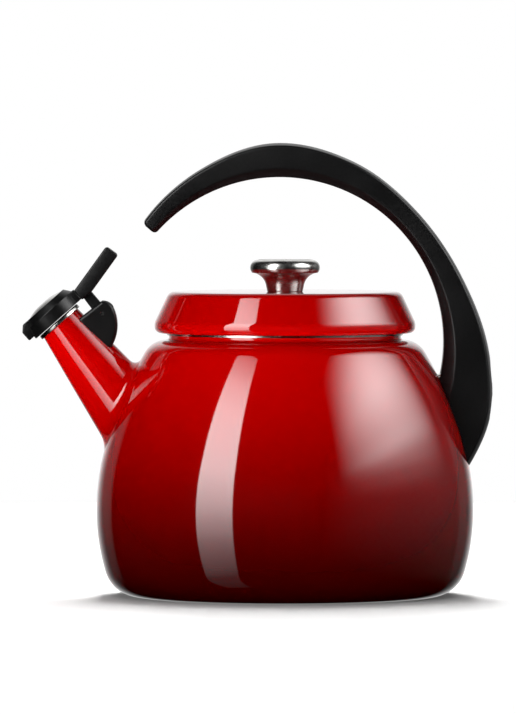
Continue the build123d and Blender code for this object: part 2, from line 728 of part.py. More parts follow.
def make_handle_screws():
    shank = head_seat() - SCREW_TIP - BRACKET_T / 2
    body = Rot(X=180) * screw(SCREW_R, shank, HEAD_R, HEAD_H, SOCKET_AF)
    return at_screws(Pos(Z=head_seat()) * body)


def fixing_room():
    """What the foot leaves free for the bracket, its nuts and the screws."""
    play = 2 * POCKET_PLAY
    plate_h = BRACKET_T + POCKET_PLAY
    room = Pos(Z=plate_h / 2 - WALL) * Box(BRACKET_W + play, BRACKET_L + play, plate_h + 2 * WALL)
    nut_h = BRACKET_T + NUT_T
    bore_r = WASHER_R + COUNTERBORE_PLAY
    for side in (-1, 1):
        place = Pos(0, side * FIX_PITCH / 2, 0)
        nut = extrude(RegularPolygon(NUT_AF / 2 + POCKET_PLAY, 6, major_radius=False), nut_h)
        bore = Pos(Z=head_seat() - WASHER_T + HANDLE_INNER_R / 2) * Cylinder(bore_r, HANDLE_INNER_R)
        room += [place * nut, place * Cylinder(SCREW_R + HOLE_PLAY, 4 * nut_h), place * bore]
    return on(fix_frame(), room)


def make_handle_grip():
    side = Pos(HANDLE_C.X, HANDLE_C.Y) * handle_side()
    blank = across(side, HANDLE_FOOT_W)
    tip_x = HANDLE_C.X + polar(HANDLE_INNER_R, HANDLE_TIP).X
    foot_x = HANDLE_C.X + HANDLE_INNER_R + HANDLE_DEPTHS[-1][1]
    spread = (HANDLE_FOOT_W - HANDLE_TIP_W) / 2 / (foot_x - tip_x)
    far = HANDLE_INNER_R
    plan = make_face(Polyline(
        (tip_x - far, HANDLE_TIP_W / 2 - far * spread),
        (foot_x, HANDLE_FOOT_W / 2),
        (foot_x + far, HANDLE_FOOT_W / 2),
        (foot_x + far, -HANDLE_FOOT_W / 2),
        (foot_x, -HANDLE_FOOT_W / 2),
        (tip_x - far, -HANDLE_TIP_W / 2 + far * spread),
        (tip_x - far, HANDLE_TIP_W / 2 - far * spread),
    ))
    blank &= extrude(plan, 4 * HANDLE_INNER_R)
    blank = fillet(outer_rims(blank), HANDLE_EDGE_R)
    return blank - vessel_solid(-FOOT_SEAT) - fixing_room()


def outer_rims(blank):
    """The two long edges of the crescent's outer curve."""
    reach = HANDLE_INNER_R + min(depth for _, depth in HANDLE_DEPTHS) / 2
    rims = []
    for edge in blank.edges():
        middle = edge @ 0.5
        away = math.hypot(middle.X - HANDLE_C.X, middle.Z - HANDLE_C.Y)
        if edge.length > HANDLE_INNER_R and away > reach:
            rims.append(edge)
    return rims


MAKERS = {
    "vessel_shell": make_vessel_shell,
    "vessel_base": make_vessel_base,
    "spout": make_spout,
    "spout_rim": make_spout_rim,
    "mouth_ring": make_mouth_ring,
    "lid_cover": make_lid_cover,
    "lid_collar": make_lid_collar,
    "knob": make_knob,
    "knob_washer": make_knob_washer,
    "knob_screw": make_knob_screw,
    "cap_ring": make_cap_ring,
    "thumb_lever": make_thumb_lever,
    "lever_screw": make_lever_screw,
    "whistle_cup": make_whistle_cup,
    "whistle_disc": make_whistle_disc,
    "whistle_dome": make_whistle_dome,
    "hinge_pin": make_hinge_pin,
    "spout_lug": make_spout_lug,
    "hinge_cover": make_hinge_cover,
    "torsion_spring": make_torsion_spring,
    "handle_bracket": make_handle_bracket,
    "bracket_nuts": make_bracket_nuts,
    "handle_washers": make_handle_washers,
    "handle_screws": make_handle_screws,
    "handle_grip": make_handle_grip,
}

if __name__ == "__main__":
    os.makedirs("parts", exist_ok=True)
    for node, maker in MAKERS.items():
        export_step(maker(), f"parts/{node}.step")
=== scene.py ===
import logging
import math
from collections.abc import Callable, Iterator, Sequence
from contextlib import contextmanager
from dataclasses import dataclass
from enum import Enum

import bmesh
import bpy
from mathutils import Matrix, Vector


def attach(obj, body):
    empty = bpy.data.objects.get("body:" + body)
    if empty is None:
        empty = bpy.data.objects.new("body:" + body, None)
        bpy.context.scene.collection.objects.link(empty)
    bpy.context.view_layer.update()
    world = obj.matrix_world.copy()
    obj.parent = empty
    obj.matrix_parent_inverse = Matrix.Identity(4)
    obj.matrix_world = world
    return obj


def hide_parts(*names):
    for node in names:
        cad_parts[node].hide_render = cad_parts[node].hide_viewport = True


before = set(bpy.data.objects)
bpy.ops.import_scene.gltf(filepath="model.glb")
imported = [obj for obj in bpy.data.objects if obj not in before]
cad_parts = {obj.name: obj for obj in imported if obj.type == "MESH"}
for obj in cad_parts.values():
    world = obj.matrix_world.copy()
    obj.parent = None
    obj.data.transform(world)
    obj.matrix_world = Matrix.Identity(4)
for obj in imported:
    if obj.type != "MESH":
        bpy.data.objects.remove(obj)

# A stovetop whistling kettle in graded red enamel, with a lift-off lid, a crescent handle and a
# sprung whistle cap. Sizes are millimetres until they reach a mesh, which is in metres. The
# origin is the centre of the base, +Z is up, the spout points to -X.

LOG = logging.getLogger("kettle")
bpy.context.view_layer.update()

MM = 0.001              # metres in a millimetre
STEPS = 256             # sides of a large turned piece
SMALL_STEPS = 128       # and of a small one
STEP_DEGREES = 5.0      # longest step along a profile's arc, in degrees
STEP_LENGTH = 2.5       # and in millimetres
MERGE = 0.0005          # vertices this near are one
CREASE = 32.0           # edges that turn more than this many degrees stay sharp
SHARP = 40.0            # and edges that turn more than this are rounded
EDGE_STEPS = 3          # faces across a small rounding
ROUND_STEPS = 6         # and across a wide one
NEARLY = 0.99           # a share of a size that still counts as all of it
TOUCH = 0.1             # millimetres within which two places count as one when picking


class Part(Enum):
    """Kinds of mesh element that can be picked."""

    VERTS = "VERT"
    EDGES = "EDGE"
    FACES = "FACE"


class Body(Enum):
    """The bodies that pieces ride on."""

    KETTLE = "kettle"
    LID = "lid"
    WHISTLE = "whistle"


class Slot(Enum):
    """The record's material slots."""

    ENAMEL = "enamel"
    POLISHED = "polished_steel"
    BRUSHED = "brushed_steel"
    PHENOLIC = "phenolic"


# ---- measuring ----

def point(x: float, y: float, z: float) -> Vector:
    """A point given in millimetres, in metres."""
    return Vector((x, y, z)) * MM


def polar(radius: float, degrees: float) -> Vector:
    """A flat vector of a length at an angle."""
    return Vector((radius * math.cos(math.radians(degrees)), radius * math.sin(math.radians(degrees))))


def frame_at(origin: Vector, lean: float) -> Matrix:
    """A frame in the XZ plane whose Z axis leans over towards -X.

    Args:
        origin: Its origin, in metres.
        lean: Degrees above level of its Z axis.

    Returns:
        The matrix that places a piece drawn around Z.
    """
    z_axis = Vector((-math.cos(math.radians(lean)), 0, math.sin(math.radians(lean))))
    x_axis = Vector((z_axis.z, 0, -z_axis.x))
    turn = Matrix((x_axis, Vector((0, 1, 0)), z_axis)).transposed().to_4x4()
    return Matrix.Translation(origin) @ turn


# ---- modelling ----

def select_only(*pieces: bpy.types.Object) -> None:
    """Selects these pieces and nothing else, with the first one active."""
    if bpy.context.mode != "OBJECT":
        bpy.ops.object.mode_set(mode="OBJECT")
    bpy.ops.object.select_all(action="DESELECT")
    for piece in pieces:
        piece.select_set(True)
    bpy.context.view_layer.objects.active = pieces[0] if pieces else None


@contextmanager
def editing(piece: bpy.types.Object, part: Part = Part.VERTS) -> Iterator[None]:
    """Holds a piece open in edit mode.

    Args:
        piece: The piece to open.
        part: What its selection works on.

    Yields:
        Nothing; the piece is in edit mode until the block ends.
    """
    select_only(piece)
    bpy.ops.object.mode_set(mode="EDIT")
    bpy.ops.mesh.select_mode(type=part.value)
    yield
    bpy.ops.object.mode_set(mode="OBJECT")


def pick(piece: bpy.types.Object, part: Part, test: Callable[[Vector], bool]) -> None:
    """Selects the elements of an open piece whose middle passes a test, and no others.

    Args:
        piece: The piece in edit mode.
        part: The kind of element.
        test: Says of a middle, in millimetres, whether its element is wanted.
    """
    bpy.ops.mesh.select_mode(type=part.value)
    bpy.ops.mesh.select_all(action="DESELECT")
    grid = bmesh.from_edit_mesh(piece.data)
    elements = {Part.VERTS: grid.verts, Part.EDGES: grid.edges, Part.FACES: grid.faces}[part]
    for element in elements:
        corners = [element] if part is Part.VERTS else element.verts
        middle = sum((corner.co for corner in corners), Vector()) / (len(corners) * MM)
        if test(middle):
            element.select = True
    grid.select_flush_mode()
    bmesh.update_edit_mesh(piece.data)


def tidy(piece: bpy.types.Object) -> None:
    """Merges a piece's doubled vertices and turns its faces outwards."""
    with editing(piece):
        bpy.ops.mesh.select_all(action="SELECT")
        bpy.ops.mesh.remove_doubles(threshold=MERGE * MM)
        bpy.ops.mesh.normals_make_consistent(inside=False)


def smooth(piece: bpy.types.Object, crease: float = CREASE) -> None:
    """Shades a piece smooth up to an angle in degrees."""
    select_only(piece)
    bpy.ops.object.shade_smooth_by_angle(angle=math.radians(crease))


def modify(piece: bpy.types.Object, kind: str, **settings: object) -> None:
    """Adds a modifier to a piece and applies it.

    Args:
        piece: The piece.
        kind: The modifier's type.
        settings: Its properties.
    """
    select_only(piece)
    modifier = piece.modifiers.new(kind.title(), kind)
    for name, value in settings.items():
        setattr(modifier, name, value)
    bpy.ops.object.modifier_apply(modifier=modifier.name)


def thicken(piece: bpy.types.Object, thickness: float, lined: bool = False) -> None:
    """Gives a skin its sheet thickness, inwards.

    Args:
        piece: The skin, with its faces outwards.
        thickness: Of the sheet, in millimetres.
        lined: Whether the inner wall takes the piece's second material.
    """
    modify(piece, "SOLIDIFY", thickness=thickness * MM, offset=-1.0, use_even_offset=True,
           use_quality_normals=True, material_offset=1 if lined else 0)


def combine(piece: bpy.types.Object, other: bpy.types.Object, operation: str) -> None:
    """Adds another closed piece to a piece, or takes it away, and deletes it.

    Args:
        piece: The piece that stays.
        other: The piece that is used up.
        operation: The Boolean modifier's operation.
    """
    modify(piece, "BOOLEAN", object=other, operation=operation, solver="EXACT")
    bpy.data.objects.remove(other)


def soften(piece: bpy.types.Object, width: float) -> None:
    """Rounds the sharp edges of a piece, by a width in millimetres."""
    modify(piece, "BEVEL", width=width * MM, limit_method="ANGLE", angle_limit=math.radians(SHARP),
           segments=EDGE_STEPS, use_clamp_overlap=True, miter_outer="MITER_ARC", harden_normals=False)


def place(piece: bpy.types.Object, matrix: Matrix) -> None:
    """Sets a piece where a matrix says and puts that place into its mesh."""
    select_only(piece)
    piece.matrix_world = matrix
    bpy.ops.object.transform_apply(location=True, rotation=True, scale=True)


def duplicate(piece: bpy.types.Object, name: str) -> bpy.types.Object:
    """A copy of a piece with its own mesh."""
    copy = piece.copy()
    copy.data = piece.data.copy()
    copy.name = name
    bpy.context.collection.objects.link(copy)
    return copy


def rod(name: str, radius: float, low: Vector, high: Vector, sides: int = 48) -> bpy.types.Object:
    """A round rod between two points.

    Args:
        name: The new piece's name.
        radius: In millimetres.
        low: The middle of one end, in millimetres.
        high: The middle of the other end.
        sides: How many sides it has.

    Returns:
        The rod, with its place in its mesh.
    """
    select_only()
    along = high - low
    bpy.ops.mesh.primitive_cylinder_add(vertices=sides, radius=radius * MM, depth=along.length * MM)
    piece = bpy.context.active_object
    piece.name = name
    turn = along.to_track_quat("Z", "Y").to_matrix().to_4x4()
    place(piece, Matrix.Translation((low + high) / 2 * MM) @ turn)
    return piece


def block(name: str, low: Vector, high: Vector) -> bpy.types.Object:
    """A box between two corners in millimetres, with its place in its mesh."""
    select_only()
    size = high - low
    bpy.ops.mesh.primitive_cube_add(size=MM)
    piece = bpy.context.active_object
    piece.name = name
    place(piece, Matrix.Translation((low + high) / 2 * MM) @ Matrix.Diagonal((*size, 1)))
    return piece


class Outline:
    """A line of vertices in the XZ plane, drawn from one corner of a small plane."""

    def __init__(self, name: str, x: float, z: float) -> None:
        """Starts a line.

        Args:
            name: The piece's name.
            x: Where it starts, in millimetres.
            z: And its height.
        """
        select_only()
        bpy.ops.mesh.primitive_plane_add(size=MM)
        self.piece = bpy.context.active_object
        self.piece.name = name
        bpy.ops.object.mode_set(mode="EDIT")
        bpy.ops.mesh.select_mode(type=Part.VERTS.value)
        bpy.ops.mesh.select_all(action="SELECT")
        bpy.ops.mesh.merge(type="CENTER")
        bpy.ops.transform.translate(value=point(x, 0, z))
        self.end = Vector((x, z))

    def to(self, x: float, z: float) -> "Outline":
        """Extrudes the end straight to a point."""
        step = Vector((x, z)) - self.end
        if step.length > MERGE:
            bpy.ops.mesh.extrude_region_move(TRANSFORM_OT_translate={"value": point(step.x, 0, step.y)})
        self.end = Vector((x, z))
        return self

    def arc(self, centre: Vector, degrees: float) -> "Outline":
        """Spins the end around a centre.

        Args:
            centre: The arc's centre.
            degrees: How far it turns, from X towards Z.

        Returns:
            This outline.
        """
        arm = self.end - centre
        length = arm.length * math.radians(abs(degrees))
        steps = max(2, math.ceil(abs(degrees) / STEP_DEGREES), math.ceil(length / STEP_LENGTH))
        bpy.ops.mesh.spin(steps=steps, angle=math.radians(degrees), center=point(centre.x, 0, centre.y),
                          axis=(0, 1, 0))
        turn = Matrix.Rotation(math.radians(degrees), 2)
        self.end = centre + turn @ arm
        return self

    def through(self, middle: Sequence[float], end: Sequence[float]) -> "Outline":
        """Draws the arc through a middle point to an end point."""
        a, b, c = self.end, Vector(middle), Vector(end)
        ab, ac = b - a, c - a
        cross = 2 * (ab.x * ac.y - ab.y * ac.x)
        square_b, square_c = ab.length_squared, ac.length_squared
        centre = a + Vector((ac.y * square_b - ab.y * square_c, ab.x * square_c - ac.x * square_b)) / cross
        first = math.atan2(a.y - centre.y, a.x - centre.x)
        last = math.atan2(c.y - centre.y, c.x - centre.x)
        turn = (last - first) % (2 * math.pi)
        if cross < 0:
            turn -= 2 * math.pi
        return self.arc(centre, math.degrees(turn))

    def rounded(self, *corners: Sequence[float]) -> "Outline":
        """Draws straight lines with rounded corners.

        Args:
            corners: Each corner's (x, z, radius); the last one's radius is 0.

        Returns:
            This outline.
        """
        for index, (x, z, radius) in enumerate(corners):
            corner = Vector((x, z))
            if not radius:
                self.to(x, z)
                continue
            arrive = (corner - self.end).normalized()
            leave = (Vector(corners[index + 1][:2]) - corner).normalized()
            turn = arrive.angle_signed(leave) * -1
            run = radius * math.tan(abs(turn) / 2)
            start = corner - arrive * run
            self.to(start.x, start.y)
            side = Vector((-arrive.y, arrive.x)) * math.copysign(radius, turn)
            self.arc(start + side, math.degrees(turn))
        return self

    def turned(self, steps: int = STEPS) -> bpy.types.Object:
        """Spins the line around Z into a skin or a ring, with its faces outwards."""
        bpy.ops.mesh.select_all(action="SELECT")
        bpy.ops.mesh.remove_doubles(threshold=MERGE * MM)
        bpy.ops.mesh.spin(steps=steps, angle=2 * math.pi, center=(0, 0, 0), axis=(0, 0, 1))
        bpy.ops.object.mode_set(mode="OBJECT")
        tidy(self.piece)
        return self.piece

    def plate(self, width: float) -> bpy.types.Object:
        """Fills the closed line and extrudes it along Y, evenly about the XZ plane."""
        bpy.ops.mesh.select_all(action="SELECT")
        bpy.ops.mesh.remove_doubles(threshold=MERGE * MM)
        bpy.ops.mesh.select_all(action="SELECT")
        bpy.ops.transform.translate(value=point(0, -width / 2, 0))
        bpy.ops.mesh.edge_face_add()
        bpy.ops.mesh.extrude_region_move(TRANSFORM_OT_translate={"value": point(0, width, 0)})
        bpy.ops.object.mode_set(mode="OBJECT")
        tidy(self.piece)
        return self.piece


# ---- finishes ----

def linear(code: str) -> tuple[float, float, float, float]:
    """A linear colour from an sRGB hex value such as "c01018"."""
    parts = [int(code[index:index + 2], 16) / 255 for index in (0, 2, 4)]
    red, green, blue = [p / 12.92 if p <= 0.04045 else ((p + 0.055) / 1.055) ** 2.4 for p in parts]
    return (red, green, blue, 1.0)


def add_node(tree: bpy.types.NodeTree, kind: str, inputs: dict | None = None,
             **settings: object) -> bpy.types.Node:
    """Adds a node to a tree.

    Args:
        tree: The node tree.
        kind: The node's type without its "ShaderNode" start.
        inputs: Input names or numbers, each with a socket to link or a value to set.
        settings: Properties of the node.

    Returns:
        The node.
    """
    node = tree.nodes.new(f"ShaderNode{kind}")
    for name, value in settings.items():
        setattr(node, name, value)
    for name, value in (inputs or {}).items():
        if isinstance(value, bpy.types.NodeSocket):
            tree.links.new(value, node.inputs[name])
        else:
            node.inputs[name].default_value = value
    return node


def set_stops(ramp: bpy.types.Node, stops: Sequence[tuple[float, Sequence[float]]]) -> None:
    """Gives a colour ramp its stops, in rising order, each a place and a linear colour."""
    elements = ramp.color_ramp.elements
    while len(elements) < len(stops):
        elements.new(1.0)
    for element, (share, colour) in zip(elements, stops):
        element.position = share
        element.color = colour


def new_material(name: str) -> bpy.types.Material:
    """A material with an empty node tree."""
    material = bpy.data.materials.new(name)
    material.use_nodes = True
    material.node_tree.nodes.clear()
    return material


@dataclass(frozen=True)
class Enamel:
    """Vitreous enamel, sprayed on pressed steel in two colours and fired to a glass.

    The eye gets a deep clear gloss over a red that darkens towards the base, partly in a sprayed fade
    and partly in painted shade, and a skin that flowed level but for a very slight orange peel.
    """

    name: str = "vitreous_enamel_fade_and_painted_shade"
    # share of the height up to the last colour, with the colour there; the red darkens towards the base,
    # partly as a sprayed fade and partly as painted shade
    fade_and_shade: tuple[tuple[float, str], ...] = (
        (0.0, "300000"), (0.16, "440000"), (0.34, "6a0000"), (0.52, "960000"), (0.72, "be0000"),
        (0.88, "d40000"), (0.95, "c40000"), (1.0, "c40000"),
    )
    fade_and_shade_top: float = 0.15      # height of the last colour, in metres
    mist: float = 0.006         # metres that the spray's edge wanders
    mist_scale: float = 60.0    # and how often, in a metre
    roughness: float = 0.045
    ior: float = 1.52
    peel_size: float = 9.0      # millimetres between the swells of the orange peel
    peel_height: float = 0.004  # and their height
    coat: float = 0.25          # the last clear skin of glass
    coat_roughness: float = 0.02

    def material(self) -> bpy.types.Material:
        """Builds the material."""
        material = new_material(self.name)
        tree = material.node_tree
        place_node = add_node(tree, "TexCoord")
        parts = add_node(tree, "SeparateXYZ", {0: place_node.outputs["Object"]})
        mist = add_node(tree, "TexNoise", {"Vector": place_node.outputs["Object"],
                                           "Scale": self.mist_scale, "Detail": 4.0})
        drift = add_node(tree, "Math", {0: mist.outputs[0], 1: self.mist, 2: parts.outputs["Z"]},
                         operation="MULTIPLY_ADD")
        height = add_node(tree, "MapRange", {"Value": drift.outputs[0], "From Min": self.mist / 2,
                                             "From Max": self.fade_and_shade_top + self.mist / 2})
        # the ramp darkens the red towards the base: partly the sprayed fade, partly painted shade
        ramp = add_node(tree, "ValToRGB", {0: height.outputs[0]})
        ramp.color_ramp.interpolation = "B_SPLINE"
        set_stops(ramp, [(share, linear(code)) for share, code in self.fade_and_shade])
        peel = add_node(tree, "TexNoise", {"Vector": place_node.outputs["Object"], "Detail": 1.5,
                                           "Scale": 1 / (self.peel_size * MM)})
        bump = add_node(tree, "Bump", {"Height": peel.outputs[0], "Strength": 1.0,
                                       "Distance": self.peel_height * MM})
        shader = add_node(tree, "BsdfPrincipled", {
            "Base Color": ramp.outputs["Color"], "Roughness": self.roughness, "IOR": self.ior,
            "Normal": bump.outputs["Normal"], "Coat Weight": self.coat, "Coat Roughness": self.coat_roughness,
        })
        add_node(tree, "OutputMaterial", {"Surface": shader.outputs[0]})
        return material


@dataclass(frozen=True)
class GroundCoat:
    """The black ground coat of enamel inside the vessel, sprayed and fired once.

    The eye gets a dark grey-black gloss with fine pale specks from the frit.
    """

    name: str = "vitreous_enamel_ground_coat"
    colour: str = "17171a"
    speck: str = "5c5c60"
    speck_rim: tuple[float, float] = (0.10, 0.22)   # where a speck ends, as a share of its cell
    roughness: float = 0.16
    ior: float = 1.52
    speck_size: float = 0.9     # millimetres
    wave_scale: float = 140.0   # swells in a metre
    wave_height: float = 0.01   # millimetres

    def material(self) -> bpy.types.Material:
        """Builds the material."""
        material = new_material(self.name)
        tree = material.node_tree
        place_node = add_node(tree, "TexCoord")
        specks = add_node(tree, "TexVoronoi", {"Vector": place_node.outputs["Object"],
                                               "Scale": 1 / (self.speck_size * MM)})
        ramp = add_node(tree, "ValToRGB", {0: specks.outputs["Distance"]})
        inner, outer = self.speck_rim
        set_stops(ramp, ((inner, linear(self.speck)), (outer, linear(self.colour))))
        wave = add_node(tree, "TexNoise", {"Vector": place_node.outputs["Object"], "Scale": self.wave_scale})
        bump = add_node(tree, "Bump", {"Height": wave.outputs[0], "Strength": 1.0,
                                       "Distance": self.wave_height * MM})
        shader = add_node(tree, "BsdfPrincipled", {
            "Base Color": ramp.outputs["Color"], "IOR": self.ior, "Roughness": self.roughness,
            "Normal": bump.outputs["Normal"],
        })
        add_node(tree, "OutputMaterial", {"Surface": shader.outputs[0]})
        return material


@dataclass(frozen=True)
class Steel:
    """Stainless steel, with fine lines left by the tool that finished it.

    The eye gets a mirror that the lines soften: hardly at all where it was buffed to a polish,
    and into a satin where it was brushed or only zinc plated.
    """

    name: str
    colour: str
    roughness: float
    rough_spread: float         # how far the roughness varies
    line_size: float            # millimetres between the lines, across them
    line_length: float          # and along them
    line_depth: float           # millimetres
    pale: str = "e4e3e0"
    cloud_scale: float = 220.0  # cloudy spots in a metre
    cloud_span: tuple[float, float] = (0.3, 0.7)    # of the clouds, from the colour to the pale one
    gloss_span: tuple[float, float] = (0.1, 0.4)    # of lines and clouds, from smooth to rough

    def material(self) -> bpy.types.Material:
        """Builds the material."""
        material = new_material(self.name)
        tree = material.node_tree
        place_node = add_node(tree, "TexCoord")
        stretch = add_node(tree, "Mapping", {
            "Vector": place_node.outputs["Object"],
            "Scale": (1 / (self.line_length * MM), 1 / (self.line_length * MM), 1 / (self.line_size * MM)),
        })
        lines = add_node(tree, "TexNoise", {"Vector": stretch.outputs[0], "Scale": 1.0, "Detail": 3.0})
        cloud = add_node(tree, "TexNoise", {"Vector": place_node.outputs["Object"],
                                            "Scale": self.cloud_scale, "Detail": 2.0})
        mixed = add_node(tree, "Math", {0: lines.outputs[0], 1: cloud.outputs[0]}, operation="MULTIPLY")
        gloss = add_node(tree, "MapRange", {
            "Value": mixed.outputs[0], "From Min": self.gloss_span[0], "From Max": self.gloss_span[1],
            "To Min": self.roughness - self.rough_spread, "To Max": self.roughness + self.rough_spread,
        })
        tint = add_node(tree, "ValToRGB", {0: cloud.outputs[0]})
        dark_end, pale_end = self.cloud_span
        set_stops(tint, ((dark_end, linear(self.colour)), (pale_end, linear(self.pale))))
        bump = add_node(tree, "Bump", {"Height": lines.outputs[0], "Strength": 1.0,
                                       "Distance": self.line_depth * MM})
        shader = add_node(tree, "BsdfPrincipled", {
            "Base Color": tint.outputs["Color"], "Metallic": 1.0, "Roughness": gloss.outputs[0],
            "Normal": bump.outputs["Normal"],
        })
        add_node(tree, "OutputMaterial", {"Surface": shader.outputs[0]})
        return material


@dataclass(frozen=True)
class Phenolic:
    """Black phenolic resin with a mineral filler, compression moulded in a spark-eroded mould.

    The eye gets a soft black with a fine even grain that breaks up highlights, worn a little
    smoother where hands hold it.
    """

    name: str = "phenolic_resin_moulded"
    colour: str = "070707"
    pale: str = "111112"
    tone_span: tuple[float, float] = (0.3, 0.75)    # of the grain, from the colour to the pale one
    roughness: float = 0.36
    worn: float = 0.05          # how much smoother it is where it is worn
    fresh: float = 0.07         # and how much rougher where it isn't
    wear_scale: float = 35.0    # worn spots in a metre
    wear_span: tuple[float, float] = (0.3, 0.7)     # of the wear, from worn to fresh
    ior: float = 1.55
    specular: float = 0.28
    grain: float = 1.3          # millimetres between the grains, coarser than the real ones to show
    grain_depth: float = 0.006  # millimetres
    grain_strength: float = 0.6

    def material(self) -> bpy.types.Material:
        """Builds the material."""
        material = new_material(self.name)
        tree = material.node_tree
        place_node = add_node(tree, "TexCoord")
        grains = add_node(tree, "TexNoise", {"Vector": place_node.outputs["Object"], "Detail": 3.0,
                                             "Roughness": 0.6, "Scale": 1 / (self.grain * MM)})
        wear = add_node(tree, "TexNoise", {"Vector": place_node.outputs["Object"],
                                           "Scale": self.wear_scale, "Detail": 2.0})
        tint = add_node(tree, "ValToRGB", {0: grains.outputs[0]})
        dark_end, pale_end = self.tone_span
        set_stops(tint, ((dark_end, linear(self.colour)), (pale_end, linear(self.pale))))
        gloss = add_node(tree, "MapRange", {
            "Value": wear.outputs[0], "From Min": self.wear_span[0], "From Max": self.wear_span[1],
            "To Min": self.roughness - self.worn, "To Max": self.roughness + self.fresh,
        })
        bump = add_node(tree, "Bump", {"Height": grains.outputs[0], "Strength": self.grain_strength,
                                       "Distance": self.grain_depth * MM})
        shader = add_node(tree, "BsdfPrincipled", {
            "Base Color": tint.outputs["Color"], "IOR": self.ior, "Specular IOR Level": self.specular,
            "Roughness": gloss.outputs[0], "Normal": bump.outputs["Normal"],
        })
        add_node(tree, "OutputMaterial", {"Surface": shader.outputs[0]})
        return material


@dataclass(frozen=True)
class Finishes:
    """Every finish of the kettle, built once."""

    enamel: bpy.types.Material
    ground: bpy.types.Material
    polished: bpy.types.Material
    brushed: bpy.types.Material
    zinc: bpy.types.Material
    phenolic: bpy.types.Material

    @classmethod
    def build(cls) -> "Finishes":
        """Builds the materials."""
        return cls(
            enamel=Enamel().material(),
            ground=GroundCoat().material(),
            polished=Steel("stainless_steel_buffed", "c9c8c5", 0.24, 0.04, 0.25, 6.0, 0.0006).material(),
            brushed=Steel("stainless_steel_brushed", "b5b4b1", 0.27, 0.06, 0.18, 5.0, 0.004).material(),
            zinc=Steel("steel_zinc_plated", "a9adb2", 0.34, 0.06, 0.6, 0.9, 0.004).material(),
            phenolic=Phenolic().material(),
        )


def hand_over(piece: bpy.types.Object, body: Body, slot: Slot, *nodes: str) -> bpy.types.Object:
    """Makes a finished piece ride and stand for its CAD nodes.

    Args:
        piece: The finished piece.
        body: What it rides on.
        slot: Not used.
        nodes: The CAD nodes that it stands for.

    Returns:
        The piece.
    """
    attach(piece, body.value)
    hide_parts(*nodes)
    triangles = sum(len(polygon.vertices) - 2 for polygon in piece.data.polygons)
    LOG.info("%s: %d triangles, rides on %s", piece.name, triangles, body.value)
    return piece


def dress(piece: bpy.types.Object, *materials: bpy.types.Material) -> None:
    """Gives a piece its materials."""
    piece.data.materials.clear()
    for material in materials:
        piece.data.materials.append(material)


# ---- vessel ----

